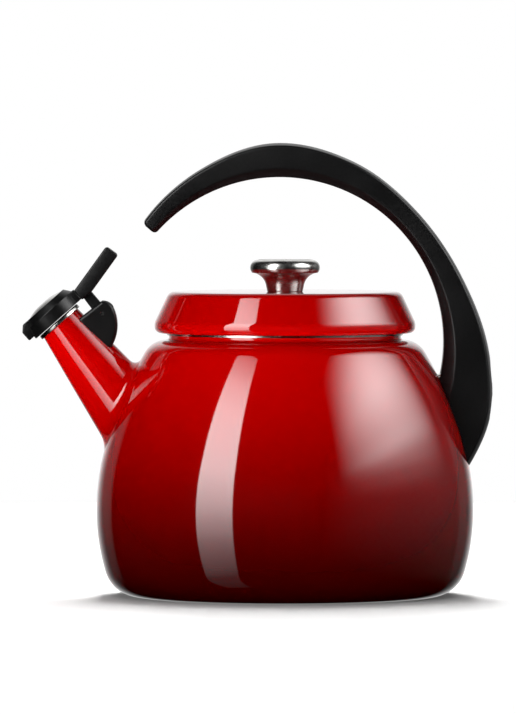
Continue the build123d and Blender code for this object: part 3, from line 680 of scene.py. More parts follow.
@dataclass
class Vessel:
    """The enamelled vessel: a spun shell with its neck, and the dished base pan."""

    wall: float = 1.6
    body_r: float = 100.0
    belly_z: float = 45.0
    lower_r: float = 112.0
    corner_r: float = 18.2
    flank_r: float = 130.0
    flank_turn: float = 13.5
    upper_r: float = 190.0
    shoulder_lean: float = 30.0
    shoulder_run: float = 3.66
    shoulder_r: float = 13.5
    seam_land: float = 4.0
    weld_gap: float = 0.05
    stand_w: float = 14.0
    dish: float = 2.5
    dish_run: float = 10.0
    bend_r: float = 4.0         # bends of the base pan
    neck_r: float = 61.6
    neck_h: float = 3.7
    neck_bend: float = 1.6      # rounding where the shoulder turns up into the neck
    spout_hole_r: float = 23.5  # hole in the shell, out of sight under the spout's root
    hole_reach: float = 90.0    # how far down the spout's axis it is cut, from the mouth

    def __post_init__(self) -> None:
        """Works out the arcs of the side."""
        drop = self.lower_r - self.corner_r
        self.base_r = self.body_r - self.lower_r + math.sqrt(drop ** 2 - (self.belly_z - self.corner_r) ** 2)
        self.lower_c = Vector((self.body_r - self.lower_r, self.belly_z))
        self.corner_c = Vector((self.base_r, self.corner_r))
        self.corner_end = math.degrees(math.atan2(self.corner_r - self.belly_z, self.base_r - self.lower_c.x))
        self.flank_c = Vector((self.body_r - self.flank_r, self.belly_z))
        self.upper_c = self.flank_c + polar(self.flank_r - self.upper_r, self.flank_turn)
        self.run_start = self.upper_c + polar(self.upper_r, self.shoulder_lean)
        self.run_end = self.run_start + polar(self.shoulder_run, self.shoulder_lean + 90)
        self.shoulder_c = self.run_end - polar(self.shoulder_r, self.shoulder_lean)
        self.shoulder_z = self.shoulder_c.y + self.shoulder_r
        self.neck_top = self.shoulder_z + self.neck_h

    def side_radius(self, z: float) -> float:
        """Outer radius at a height between the flank and the shoulder."""
        return self.upper_c.x + math.sqrt(self.upper_r ** 2 - (z - self.upper_c.y) ** 2)

    def side(self, name: str, start_r: float) -> Outline:
        """Draws the outside of the side, from under the base to the end of the shoulder.

        Args:
            name: The piece's name.
            start_r: Radius where the line starts, at the height of the base.

        Returns:
            The outline, still open for drawing.
        """
        line = Outline(name, start_r, 0).to(self.base_r, 0)
        line.arc(self.corner_c, self.corner_end + 90)
        line.arc(self.lower_c, -self.corner_end)
        line.arc(self.flank_c, self.flank_turn)
        line.arc(self.upper_c, self.shoulder_lean - self.flank_turn)
        line.to(*self.run_end)
        return line.arc(self.shoulder_c, 90 - self.shoulder_lean)

    def form(self) -> bpy.types.Object:
        """The vessel as a closed solid up to its shoulder, to shape other pieces with."""
        return self.side("vessel_form", 0).to(0, self.shoulder_z).turned()

    def build_shell(self, spout_frame: Matrix, finishes: Finishes) -> bpy.types.Object:
        """Builds the shell with its neck and the hole under the spout.

        Args:
            spout_frame: The frame whose Z axis runs along the spout.
            finishes: The finishes.

        Returns:
            The shell.
        """
        line = self.side("enamelled_shell", self.base_r - self.seam_land)
        line.rounded((self.neck_r, self.shoulder_z, self.neck_bend), (self.neck_r, self.neck_top, 0))
        shell = line.turned()
        dress(shell, finishes.enamel, finishes.ground)
        thicken(shell, self.wall, lined=True)
        hole = rod("spout_hole", self.spout_hole_r, Vector((0, 0, -self.hole_reach)), Vector(), SMALL_STEPS)
        place(hole, spout_frame)
        combine(shell, hole, "DIFFERENCE")
        smooth(shell)
        return hand_over(shell, Body.KETTLE, Slot.ENAMEL, "vessel_shell")

    def build_base(self, finishes: Finishes) -> bpy.types.Object:
        """Builds the base pan, dished up inside its standing ring."""
        rim = self.base_r - self.seam_land - self.weld_gap
        foot = rim - self.stand_w
        line = Outline("base_pan", rim, 0)
        line.rounded((foot, 0, self.bend_r), (foot - self.dish_run, self.dish, self.bend_r),
                     (0, self.dish, 0))
        base = line.turned()
        dress(base, finishes.enamel, finishes.ground)
        thicken(base, self.wall, lined=True)
        smooth(base)
        return hand_over(base, Body.KETTLE, Slot.ENAMEL, "vessel_base")


@dataclass
class MouthRing:
    """The bright ring that is pressed over the neck and lines the mouth."""

    thickness: float = 0.8
    play: float = 0.1
    skirt: float = 9.0
    cover: float = 2.0          # how far down the neck it shows
    bend: float = 1.1

    def __post_init__(self) -> None:
        """Works out where the ring sits."""
        vessel = Vessel()
        self.out_r = vessel.neck_r + self.play + self.thickness
        self.in_r = vessel.neck_r - vessel.wall - self.play - self.thickness
        self.top = vessel.neck_top + self.thickness
        self.low = self.top - self.cover

    def build(self, finishes: Finishes) -> bpy.types.Object:
        """Builds the ring."""
        line = Outline("mouth_trim", self.out_r, self.low)
        line.rounded((self.out_r, self.top, self.bend), (self.in_r, self.top, self.bend),
                     (self.in_r, self.top - self.skirt, 0))
        ring = line.turned()
        thicken(ring, self.thickness)
        dress(ring, finishes.polished)
        smooth(ring)
        return hand_over(ring, Body.KETTLE, Slot.POLISHED, "mouth_ring")


# ---- lid ----

@dataclass
class Lid:
    """The lift-off lid: an enamelled cover with a rolled rim, and the steel collar under it."""

    sheet: float = 1.4
    radius: float = 69.2
    bottom_drop: float = 0.9
    height: float = 21.9
    lean: float = 25.5
    bead_h: float = 5.5
    turn_in: float = 5.2
    edge_r: float = 4.5
    waist_r: float = 6.0
    bead_r: float = 3.3
    seat: float = 0.1
    collar_t: float = 0.8
    collar_skirt: float = 12.5
    collar_play: float = 0.9
    screw_hole_r: float = 2.3

    def __post_init__(self) -> None:
        """Works out where the lid sits."""
        self.ring = MouthRing()
        self.bottom = self.ring.top - self.bottom_drop
        self.crown = self.bottom + self.height

    def build_cover(self, finishes: Finishes) -> bpy.types.Object:
        """Builds the enamelled cover."""
        bead_top = self.bottom + self.bead_h
        side_top_r = self.radius - (self.crown - bead_top) * math.tan(math.radians(self.lean))
        line = Outline("enamelled_lid", self.radius - self.turn_in, self.bottom)
        line.rounded((self.radius, self.bottom, self.bead_r), (self.radius, bead_top, self.waist_r),
                     (side_top_r, self.crown, self.edge_r), (self.screw_hole_r, self.crown, 0))
        cover = line.turned()
        dress(cover, finishes.enamel, finishes.ground)
        thicken(cover, self.sheet, lined=True)
        smooth(cover)
        return hand_over(cover, Body.LID, Slot.ENAMEL, "lid_cover")

    def build_collar(self, finishes: Finishes) -> bpy.types.Object:
        """Builds the brushed collar that centres the lid in the mouth."""
        seat = self.ring.top + self.seat
        skirt_r = self.ring.in_r - self.collar_play
        line = Outline("lid_collar_spun", skirt_r, seat - self.collar_skirt)
        line.rounded((skirt_r, seat, self.collar_t), (self.radius - self.bead_r, seat, 0))
        collar = line.turned()
        thicken(collar, self.collar_t)
        dress(collar, finishes.brushed)
        smooth(collar)
        return hand_over(collar, Body.LID, Slot.BRUSHED, "lid_collar")


@dataclass
class Knob:
    """The polished mushroom knob on the lid."""

    height: float = 16.7
    rim_r: float = 18.5
    rim_h: float = 12.5
    face_r: float = 13.0
    face_bend: float = 1.2      # rounding of the edge of the flat top
    foot_r: float = 9.4
    foot_bend: float = 0.5
    stem_r: float = 10.2
    stem_h: float = 3.9
    under_r: float = 17.5
    under_h: float = 10.0
    under_middle: tuple[float, float] = (12.76, 8.05)
    bore_r: float = 2.05
    bore: float = 9.0

    def build(self, crown: float, finishes: Finishes) -> bpy.types.Object:
        """Builds the knob.

        Args:
            crown: Height of the lid's crown.
            finishes: The finishes.

        Returns:
            The knob.
        """
        line = Outline("lid_knob", 0, self.bore).to(self.bore_r, self.bore).to(self.bore_r, 0)
        line.rounded((self.foot_r, 0, self.foot_bend), (self.stem_r, self.stem_h, 0))
        line.through(self.under_middle, (self.under_r, self.under_h))
        line.through((self.rim_r, self.rim_h), (self.face_r, self.height))
        knob = line.to(0, self.height).turned(SMALL_STEPS)
        with editing(knob, Part.EDGES):
            rim = self.face_r * NEARLY
            pick(knob, Part.EDGES, lambda m: abs(m.z - self.height) < MERGE and m.xy.length > rim)
            bpy.ops.mesh.bevel(offset=self.face_bend * MM, segments=ROUND_STEPS, profile=0.5)
        place(knob, Matrix.Translation(point(0, 0, crown)))
        dress(knob, finishes.polished)
        smooth(knob)
        return hand_over(knob, Body.LID, Slot.POLISHED, "knob")


# ---- spout ----

@dataclass
class Spout:
    """The tapered spout with its blended root, and the steel bush in its mouth."""

    wall: float = 1.6
    root_z: float = 103.9
    rise: float = 52.2
    length: float = 51.6
    mouth_r: float = 11.85
    taper: float = 7.7
    mouth_rise: float = 48.6
    over: float = 3.0           # length drawn beyond the mouth and cut off
    ring_step: float = 8.0      # between the rings of the cone
    rings: int = 4
    sides: int = 192
    root_shift: float = 1.45    # the root's ring moves down the slope to stay on the cone
    root_grow: float = 1.006
    root_zone: float = 1.0      # what lies this near the root or lower is laid on the vessel
    cone_only: float = 20.0     # down to here from the mouth there is only the cone
    blend: float = 5.0          # width of the rounding at the root
    blend_steps: int = 10
    skirt: tuple[float, ...] = (7.0, 9.5)   # rings of the skirt that lies on the vessel
    skirt_lift: float = 0.04
    rim_r: float = 13.2
    rim_t: float = 2.2
    rim_bend: float = 0.9
    rim_under: float = 0.4      # rounding under the rim
    bush_t: float = 0.7
    bush_bend: float = 0.5
    bush_play: float = 0.15
    bush_depth: float = 7.0
    crease: float = 50.0

    def __post_init__(self) -> None:
        """Works out the frames along the spout and on its mouth."""
        along = Vector((-math.cos(math.radians(self.rise)), 0, math.sin(math.radians(self.rise))))
        root = Vector((-Vessel().side_radius(self.root_z), 0, self.root_z))
        self.mouth = (root + along * self.length) * MM
        self.frame = frame_at(self.mouth, self.rise)
        self.mouth_frame = frame_at(self.mouth, self.mouth_rise)

    def cone_radius(self, height: float) -> float:
        """Outer radius at a height above the mouth along the spout."""
        return self.mouth_r - height * math.tan(math.radians(self.taper))

    def build(self, form: bpy.types.Object, finishes: Finishes) -> bpy.types.Object:
        """Builds the spout down from its mouth and blends its root into the vessel.

        Args:
            form: The vessel as a solid, which the root lies on.
            finishes: The finishes.

        Returns:
            The spout.
        """
        select_only()
        bpy.ops.mesh.primitive_circle_add(vertices=self.sides, radius=self.cone_radius(self.over) * MM,
                                          location=point(0, 0, self.over))
        spout = bpy.context.active_object
        spout.name = "enamelled_spout"
        bpy.ops.object.transform_apply(location=True)
        with editing(spout):
            bpy.ops.mesh.select_all(action="SELECT")
            height = self.over
            for ring in range(1, self.rings + 1):
                height = self.draw_ring(height, self.over - self.ring_step * ring)
            height = self.draw_ring(height, -self.length)
            bpy.ops.transform.translate(value=point(-self.root_shift, 0, 0))
            root_r = self.cone_radius(-self.length)
            self.widen(root_r, root_r * self.root_grow)
            reach = root_r
            for ring in self.skirt:
                bpy.ops.mesh.extrude_region_move(TRANSFORM_OT_translate={"value": (0, 0, 0)})
                self.widen(reach, root_r + ring)
                reach = root_r + ring
        group = spout.vertex_groups.new(name="root")
        low = (self.root_zone - self.length) * MM
        group.add([v.index for v in spout.data.vertices if v.co.z < low], 1.0, "REPLACE")
        spout.matrix_world = self.frame
        modify(spout, "SHRINKWRAP", target=form, wrap_method="PROJECT", use_project_z=True,
               use_negative_direction=True, use_positive_direction=True, vertex_group="root",
               offset=self.skirt_lift * MM)
        self.round_root(spout)
        place(spout, self.frame)
        with editing(spout):
            bpy.ops.mesh.select_all(action="SELECT")
            bpy.ops.mesh.bisect(plane_co=self.mouth, plane_no=self.mouth_frame.col[2].to_3d(),
                                clear_outer=True)
        self.face_outwards(spout)
        dress(spout, finishes.enamel, finishes.ground)
        thicken(spout, self.wall, lined=True)
        smooth(spout, self.crease)
        return hand_over(spout, Body.KETTLE, Slot.ENAMEL, "spout")

    def draw_ring(self, height: float, new_height: float) -> float:
        """Extrudes the open ring down the cone and returns its new height."""
        step = {"value": point(0, 0, new_height - height)}
        bpy.ops.mesh.extrude_region_move(TRANSFORM_OT_translate=step)
        self.widen(self.cone_radius(height), self.cone_radius(new_height))
        return new_height

    def widen(self, radius: float, new_radius: float) -> None:
        """Resizes the selected ring about its middle."""
        factor = new_radius / radius
        bpy.ops.transform.resize(value=(factor, factor, 1.0))

    def round_root(self, spout: bpy.types.Object) -> None:
        """Bevels the loop where the cone meets its skirt."""
        grid = spout.data
        first = self.sides * (self.rings + 1)
        root = set(range(first, first + self.sides))
        select_only(spout)
        bpy.ops.object.mode_set(mode="EDIT")
        bpy.ops.mesh.select_mode(type="EDGE")
        bpy.ops.mesh.select_all(action="DESELECT")
        bpy.ops.object.mode_set(mode="OBJECT")
        for edge in grid.edges:
            edge.select = edge.vertices[0] in root and edge.vertices[1] in root
        bpy.ops.object.mode_set(mode="EDIT")
        bpy.ops.mesh.bevel(offset=self.blend * MM, segments=self.blend_steps, profile=0.5, affect="EDGES")
        bpy.ops.object.mode_set(mode="OBJECT")

    def face_outwards(self, spout: bpy.types.Object) -> None:
        """Turns the open skin's faces away from the spout's own axis."""
        tidy(spout)
        inverse = self.frame.inverted()
        face = next(f for f in spout.data.polygons if (inverse @ f.center).z > -self.cone_only * MM)
        centre = inverse @ face.center
        outwards = inverse.to_3x3() @ face.normal
        if outwards.x * centre.x + outwards.y * centre.y < 0:
            with editing(spout, Part.FACES):
                bpy.ops.mesh.select_all(action="SELECT")
                bpy.ops.mesh.flip_normals()

    def build_rim(self, finishes: Finishes) -> bpy.types.Object:
        """Builds the polished bush with its flange."""
        bush_r = self.mouth_r - self.wall - self.bush_play
        bore = bush_r - self.bush_t
        line = Outline("spout_bush", bore, -self.bush_depth)
        line.rounded((bore, self.rim_t, self.bush_bend), (self.rim_r, self.rim_t, self.rim_bend),
                     (self.rim_r, 0, self.rim_under), (bush_r, 0, 0), (bush_r, -self.bush_depth, 0),
                     (bore, -self.bush_depth, 0))
        rim = line.turned(SMALL_STEPS)
        place(rim, self.mouth_frame)
        dress(rim, finishes.polished)
        smooth(rim)
        return hand_over(rim, Body.KETTLE, Slot.POLISHED, "spout_rim")


# ---- handle ----

@dataclass
class Handle:
    """The moulded crescent handle: drawn as a straight bar and bent round its inner circle."""

    reach: float = 102.9
    rise: float = 90.2
    inner_r: float = 86.9
    tip: float = 139.3
    depths: tuple[tuple[float, float], ...] = (
        (-34.0, 33.6), (-20.0, 31.9), (-6.0, 25.7), (18.0, 16.0), (42.0, 13.2), (68.0, 16.0), (92.0, 18.0),
        (115.0, 13.2), (139.3, 8.9),
    )
    tip_w: float = 20.0
    foot_w: float = 30.0
    segments: int = 112
    crown: float = 2.5          # how far the outer face bulges
    band: float = 0.25          # inner bevel, as a share of the depth
    band_w: float = 4.2         # and across the handle
    edge_r: float = 1.3
    ridge_r: float = 0.7        # rounding of the inner bevel's edges
    end_r: float = 2.3
    seat: float = 0.1
    crease: float = 28.0
    ridge_turn: float = 18.0    # an edge along it that turns more than this is rounded
    outer_share: float = 0.7    # of the depth, beyond which an edge is on the outer face
    side_share: float = 0.45    # of the width, beyond which an element is on a side

    def __post_init__(self) -> None:
        """Works out the centre of the inner circle."""
        vessel = Vessel()
        self.centre = Vector((vessel.body_r - self.reach, 0, vessel.belly_z + self.rise))
        self.foot = self.depths[0][0]

    def depth_at(self, angle: float) -> float:
        """Depth of the crescent outside the inner circle, smooth through the listed depths."""
        knots = self.depths
        index = max(0, min(len(knots) - 2, sum(1 for a, _ in knots if a < angle) - 1))
        (a0, d0), (a1, d1) = knots[index], knots[index + 1]
        t = (angle - a0) / (a1 - a0)
        m0, m1 = self.slope(index) * (a1 - a0), self.slope(index + 1) * (a1 - a0)
        from_start = (2 * t ** 3 - 3 * t ** 2 + 1) * d0 + (t ** 3 - 2 * t ** 2 + t) * m0
        return from_start + (3 * t ** 2 - 2 * t ** 3) * d1 + (t ** 3 - t ** 2) * m1

    def slope(self, index: int) -> float:
        """Change of depth with angle at a listed depth."""
        before, after = max(0, index - 1), min(len(self.depths) - 1, index + 1)
        (a0, d0), (a1, d1) = self.depths[before], self.depths[after]
        return (d1 - d0) / (a1 - a0)

    def width_at(self, angle: float, depth: float) -> float:
        """Width across the handle, even along X from the free end to the foot."""
        tip_x = (polar(self.inner_r, self.tip)).x
        foot_x = self.inner_r + self.depths[0][1]
        x = polar(self.inner_r + depth / 2, angle).x
        share = min(1.0, max(0.0, (x - tip_x) / (foot_x - tip_x)))
        return self.tip_w + (self.foot_w - self.tip_w) * share

    def build_bar(self) -> bpy.types.Object:
        """Builds the straight bar: X along it, -Y through its depth, Z across it."""
        turn = self.tip - self.foot
        length = self.inner_r * math.radians(turn)
        depth = self.depth_at(self.foot)
        width = self.width_at(self.foot, depth)
        select_only()
        bpy.ops.mesh.primitive_plane_add(size=MM, rotation=(0, math.pi / 2, 0))
        bar = bpy.context.active_object
        bar.name = "handle_moulding"
        bpy.ops.object.transform_apply(rotation=True)
        place(bar, Matrix.Translation(point(0, -depth / 2, 0)) @ Matrix.Diagonal((1, depth, width, 1)))
        with editing(bar):
            self.shape_section(bar, depth, width)
            bpy.ops.mesh.select_all(action="SELECT")
            at = 0.0
            for step in range(1, self.segments + 1):
                angle = self.foot + turn * step / self.segments
                new_depth = self.depth_at(angle)
                new_width = self.width_at(angle, new_depth)
                move = point(length / self.segments, 0, 0)
                at += length / self.segments
                bpy.ops.mesh.extrude_region_move(TRANSFORM_OT_translate={"value": move})
                bpy.ops.transform.resize(value=(1, new_depth / depth, new_width / width),
                                         center_override=point(at, 0, 0))
                depth, width = new_depth, new_width
        tidy(bar)
        return bar

    def shape_section(self, bar: bpy.types.Object, depth: float, width: float) -> None:
        """Gives the first section its inner bevel and its crowned outer edge.

        Args:
            bar: The bar in edit mode, still one flat section.
            depth: The section's depth.
            width: And its width.
        """
        side_z = width * self.side_share
        outer_y = -depth * self.outer_share
        pick(bar, Part.EDGES, lambda m: m.y < -depth * NEARLY)
        bpy.ops.mesh.subdivide(number_cuts=3)
        for share in (0.0, 0.5):
            at_z = width / 2 * share
            pick(bar, Part.VERTS, lambda m, z=at_z: m.y < outer_y and abs(abs(m.z) - z) < TOUCH)
            bpy.ops.transform.translate(value=point(0, self.crown * (share ** 2), 0))
        pick(bar, Part.VERTS, lambda m: m.y < outer_y and abs(m.z) > side_z)
        bpy.ops.transform.translate(value=point(0, self.crown, 0))
        for side in (-1, 1):
            pick(bar, Part.EDGES, lambda m, s=side: m.z * s > side_z)
            bpy.ops.mesh.subdivide(number_cuts=1)
            pick(bar, Part.VERTS, lambda m, s=side: m.z * s > side_z and outer_y < m.y < outer_y + depth / 2)
            bpy.ops.transform.translate(value=point(0, depth * (0.5 - self.band) - self.crown / 2, 0))
            pick(bar, Part.VERTS, lambda m, s=side: m.z * s > side_z and m.y > -TOUCH)
            bpy.ops.transform.translate(value=point(0, 0, -side * self.band_w))

    def round_edges(self, bar: bpy.types.Object) -> None:
        """Rounds the free end, the outer edges and the ridges of the inner bevel."""
        length = self.inner_r * math.radians(self.tip - self.foot)
        with editing(bar, Part.EDGES):
            self.pick_long_edges(bar, outer=True)
            bpy.ops.mesh.bevel(offset=self.edge_r * MM, segments=ROUND_STEPS, profile=0.5)
            self.pick_long_edges(bar, outer=False)
            bpy.ops.mesh.bevel(offset=self.ridge_r * MM, segments=EDGE_STEPS, profile=0.5)
            pick(bar, Part.EDGES, lambda m: m.x > length - 0.01)
            bpy.ops.mesh.bevel(offset=self.end_r * MM, segments=ROUND_STEPS, profile=0.5)

    def pick_long_edges(self, bar: bpy.types.Object, outer: bool) -> None:
        """Selects the sharp edges along the bar, on its outer face or of its inner bevel."""
        bpy.ops.mesh.select_all(action="DESELECT")
        grid = bmesh.from_edit_mesh(bar.data)
        for edge in grid.edges:
            along = (edge.verts[1].co - edge.verts[0].co).normalized()
            if abs(along.x) < 0.9 or len(edge.link_faces) != 2:
                continue
            if edge.calc_face_angle(0.0) < math.radians(self.ridge_turn):
                continue
            middle = (edge.verts[0].co + edge.verts[1].co) / 2 / MM
            depth = self.depth_at(self.foot + math.degrees(middle.x / self.inner_r))
            is_outer = -middle.y > depth * self.outer_share
            edge.select = is_outer == outer
        grid.select_flush_mode()
        bmesh.update_edit_mesh(bar.data)

    def build(self, form: bpy.types.Object, finishes: Finishes) -> bpy.types.Object:
        """Bends the bar, cuts its foot to the vessel and makes room for its fixing.

        Args:
            form: The vessel as a solid.
            finishes: The finishes.

        Returns:
            The handle.
        """
        bar = self.build_bar()
        self.round_edges(bar)
        turn = math.radians(self.tip - self.foot)
        modify(bar, "SIMPLE_DEFORM", deform_method="BEND", deform_axis="Z", angle=turn)
        # bent, the centre is at (0, inner_r) and the foot lies straight below it
        centred = Matrix.Translation(point(0, -self.inner_r, 0))
        upright = Matrix.Rotation(math.pi / 2, 4, "X")
        turned = Matrix.Rotation(-math.radians(self.foot + 90), 4, "Y")
        place(bar, Matrix.Translation(self.centre * MM) @ turned @ upright @ centred)
        tidy(bar)
        cutter = duplicate(form, "foot_cutter")
        with editing(cutter):
            bpy.ops.mesh.select_all(action="SELECT")
            bpy.ops.transform.shrink_fatten(value=self.seat * MM)
        combine(bar, cutter, "DIFFERENCE")
        for room in Fixing().rooms():
            combine(bar, room, "DIFFERENCE")
        dress(bar, finishes.phenolic)
        smooth(bar, self.crease)
        return hand_over(bar, Body.KETTLE, Slot.PHENOLIC, "handle_grip")


@dataclass
class Fixing:
    """The welded bracket behind the foot, its nuts and the screws in their counterbores."""

    height: float = 101.0
    pitch: float = 17.0
    bracket: tuple[float, float, float] = (18.0, 36.0, 2.4)
    play: float = 0.25
    nut_af: float = 8.0
    nut_t: float = 4.0
    hole_r: float = 2.8
    seat: float = 11.4          # underside of the washers above the vessel's side
    bore_r: float = 5.4
    bore_sides: int = 64
    far: float = 90.0           # outer end of the counterbores, outside the handle
    sink: float = 4.0           # how far the bracket's room starts inside the vessel's side
    way_ratio: float = 4.0      # the screws' way, over the height of the nuts' tops

    def frame(self) -> Matrix:
        """On the vessel's side at the bracket: Z outwards and X along Y."""
        vessel = Vessel()
        lean = math.asin((self.height - vessel.upper_c.y) / vessel.upper_r)
        normal = Vector((math.cos(lean), 0, math.sin(lean)))
        across = Vector((0, 1, 0))
        turn = Matrix((across, normal.cross(across), normal)).transposed().to_4x4()
        return Matrix.Translation(point(vessel.side_radius(self.height), 0, self.height)) @ turn

    def rooms(self) -> list[bpy.types.Object]:
        """Closed pieces for what the foot leaves free."""
        width, length, thickness = self.bracket
        half = Vector((width / 2 + self.play, length / 2 + self.play, 0))
        top = Vector((0, 0, thickness + self.play))
        found = [block("plate_room", -half - Vector((0, 0, self.sink)), half + top)]
        nut_r = self.nut_af / math.sqrt(3) + self.play
        for side in (-1, 1):
            base = Vector((0, side * self.pitch / 2, 0))
            nut_top = base + Vector((0, 0, thickness + self.nut_t))
            found.append(rod("nut_room", nut_r, base, nut_top, 6))
            way_end = base + Vector((0, 0, self.way_ratio * nut_top.z))
            found.append(rod("screw_way", self.hole_r, base, way_end))
            seat = base + Vector((0, 0, self.seat))
            bore_end = base + Vector((0, 0, self.far))
            found.append(rod("counterbore", self.bore_r, seat, bore_end, self.bore_sides))
        for room in found:
            place(room, self.frame())
        return found


# ---- whistle ----

@dataclass
class WhistleCap:
    """The sprung cap: moulded ring with its lip, thumb lever and arm, and the steel whistle."""

    bottom: float = 2.5         # above the mouth's plane
    ring_r: float = 15.4
    ring_h: float = 10.2
    chamfer_w: float = 2.8
    chamfer_h: float = 3.7
    edge_r: float = 0.5
    pad: float = 1.3            # how far the pad stands out of the ring
    pad_root: float = 2.0       # where it starts, outside the bore
    pad_edge: float = 0.5
    lip_reach: float = 3.2
    lip_w: float = 13.0
    lip_lift: float = 1.6
    lip_corner: float = 3.0
    lip_edge: float = 0.7
    lip_low_bend: float = 0.8
    lip_top_bend: float = 1.0
    lip_root: float = 1.0       # how far it starts outside the dome's shelf
    cup_r: float = 10.8
    cup_t: float = 0.6
    fit: float = 0.1
    cup_drop: float = 1.2
    shelf: float = 0.4
    dome_rise: float = 1.7
    dome_edge: float = 0.9
    dome_crease: float = 40.0
    steam_r: float = 2.2
    lever_w: float = 14.0
    lever_t: float = 7.9
    lever_lean: float = 12.8
    lever_len: float = 30.7
    lever_end_r: float = 1.6
    lever_edge_r: float = 0.8
    hub_drop: float = 0.7
    hub_len: float = 7.0
    hub_bend: float = 4.0
    arm_w: float = 5.2
    arm_t: float = 5.0
    arm_inset: float = 1.4
    arm_edge: float = 0.5
    pin_out: float = 20.1
    pin_drop: float = 10.6
    pin_r: float = 1.14
    eye_r: float = 3.0

    def build_ring(self, frame_m: Matrix, finishes: Finishes) -> bpy.types.Object:
        """Builds the ring with the front lip and the pad that the lever is screwed to."""
        top = self.bottom + self.ring_h
        bore = self.cup_r + self.fit
        shelf_r = bore + self.shelf
        shelf = top - self.cup_drop + self.fit
        line = Outline("whistle_ring", bore, self.bottom)
        line.rounded((self.ring_r, self.bottom, self.edge_r),
                     (self.ring_r, top - self.chamfer_h, self.edge_r),
                     (self.ring_r - self.chamfer_w, top, self.edge_r),
                     (shelf_r, top, 0), (shelf_r, shelf, 0), (bore, shelf, 0), (bore, self.bottom, 0))
        ring = line.turned(SMALL_STEPS)
        lip = self.build_lip(top)
        seam = self.ring_r + self.pad
        pad = block("pad", Vector((bore + self.pad_root, -self.lever_w / 2, self.bottom)),
                    Vector((seam, self.lever_w / 2, top - self.chamfer_h)))
        soften(pad, self.pad_edge)
        for extra in (lip, pad):
            combine(ring, extra, "UNION")
        place(ring, frame_m)
        dress(ring, finishes.phenolic)
        smooth(ring)
        return hand_over(ring, Body.WHISTLE, Slot.PHENOLIC, "cap_ring")

    def build_lip(self, top: float) -> bpy.types.Object:
        """Builds the front lip, rounded, from under the ring's chamfer outwards."""
        front = -self.ring_r - self.lip_reach
        low = self.bottom + self.lip_lift
        back = -self.cup_r - self.shelf - self.lip_root
        line = Outline("lip", back, low)
        line.rounded((front, low, self.lip_low_bend), (front, top - self.lip_corner, self.lip_top_bend),
                     (front + self.lip_corner, top, self.lip_top_bend), (back, top, 0), (back, low, 0))
        lip = line.plate(self.lip_w)
        soften(lip, self.lip_edge)
        return lip

    def build_lever(self, frame_m: Matrix, finishes: Finishes) -> bpy.types.Object:
        """Builds the thumb lever with its hub and the arm down to the hinge."""
        bottom = self.bottom - self.hub_drop
        seam = self.ring_r + self.pad
        hub_end = seam + self.hub_len
        lean = math.radians(self.lever_lean)
        along = Vector((math.cos(lean), math.sin(lean)))
        up = Vector((-along.y, along.x))
        low_tip = Vector((hub_end, bottom)) + along * (self.lever_len - self.hub_len)
        high_tip = low_tip + up * self.lever_t
        root_z = bottom + self.lever_t / along.x - self.hub_len * math.tan(lean)
        line = Outline("thumb_lever_moulding", seam, bottom)
        line.rounded((hub_end, bottom, self.hub_bend), (*low_tip, self.lever_end_r),
                     (*high_tip, self.lever_end_r), (seam, root_z, 0), (seam, bottom, 0))
        lever = line.plate(self.lever_w)
        soften(lever, self.lever_edge_r)
        combine(lever, self.build_arm(seam, bottom), "UNION")
        pin = Vector((self.pin_out, 0, -self.pin_drop))
        reach = Vector((0, self.lever_w, 0))
        combine(lever, rod("pin_way", self.pin_r, pin - reach, pin + reach), "DIFFERENCE")
        place(lever, frame_m)
        dress(lever, finishes.phenolic)
        smooth(lever)
        return hand_over(lever, Body.WHISTLE, Slot.PHENOLIC, "thumb_lever")

    def build_arm(self, seam: float, bottom: float) -> bpy.types.Object:
        """Builds the arm with its eye around the pin."""
        left = seam + self.arm_inset
        top = bottom + self.lever_t / 2
        eye_top = -self.pin_drop + self.eye_r
        line = Outline("arm", left, top).to(left + self.arm_w, top)
        line.to(self.pin_out + self.eye_r, eye_top).to(self.pin_out + self.eye_r, -self.pin_drop)
        line.arc(Vector((self.pin_out, -self.pin_drop)), -180)
        line.to(self.pin_out - self.eye_r, eye_top).to(left, top)
        arm = line.plate(self.arm_t)
        soften(arm, self.arm_edge)
        return arm

    def build_dome(self, frame_m: Matrix, finishes: Finishes) -> bpy.types.Object:
        """Builds the polished domed top with its steam hole."""
        edge_r = self.cup_r + self.shelf
        low = self.bottom + self.ring_h - self.cup_drop + 2 * self.fit
        knee = low + self.dome_edge
        rise = self.bottom + self.ring_h + self.dome_rise - knee
        run = edge_r - self.steam_r
        radius = (run ** 2 + rise ** 2) / (2 * rise)
        line = Outline("whistle_dome_pressed", edge_r, low).to(edge_r, knee)
        line.arc(Vector((self.steam_r, knee + rise - radius)), math.degrees(math.asin(run / radius)))
        dome = line.turned(SMALL_STEPS)
        thicken(dome, self.cup_t)
        place(dome, frame_m)
        dress(dome, finishes.polished)
        smooth(dome, self.dome_crease)
        return hand_over(dome, Body.WHISTLE, Slot.POLISHED, "whistle_dome")

    def build_cup(self, frame_m: Matrix, finishes: Finishes) -> bpy.types.Object:
        """Builds the brushed cup under the dome, open at its steam hole."""
        top = self.bottom + self.ring_h - self.cup_drop
        line = Outline("whistle_cup_pressed", self.steam_r, self.bottom)
        line.rounded((self.cup_r, self.bottom, 2 * self.cup_t), (self.cup_r, top, 0))
        cup = line.turned(SMALL_STEPS)
        thicken(cup, self.cup_t)
        place(cup, frame_m)
        dress(cup, finishes.brushed)
        smooth(cup)
        return hand_over(cup, Body.WHISTLE, Slot.BRUSHED, "whistle_cup")


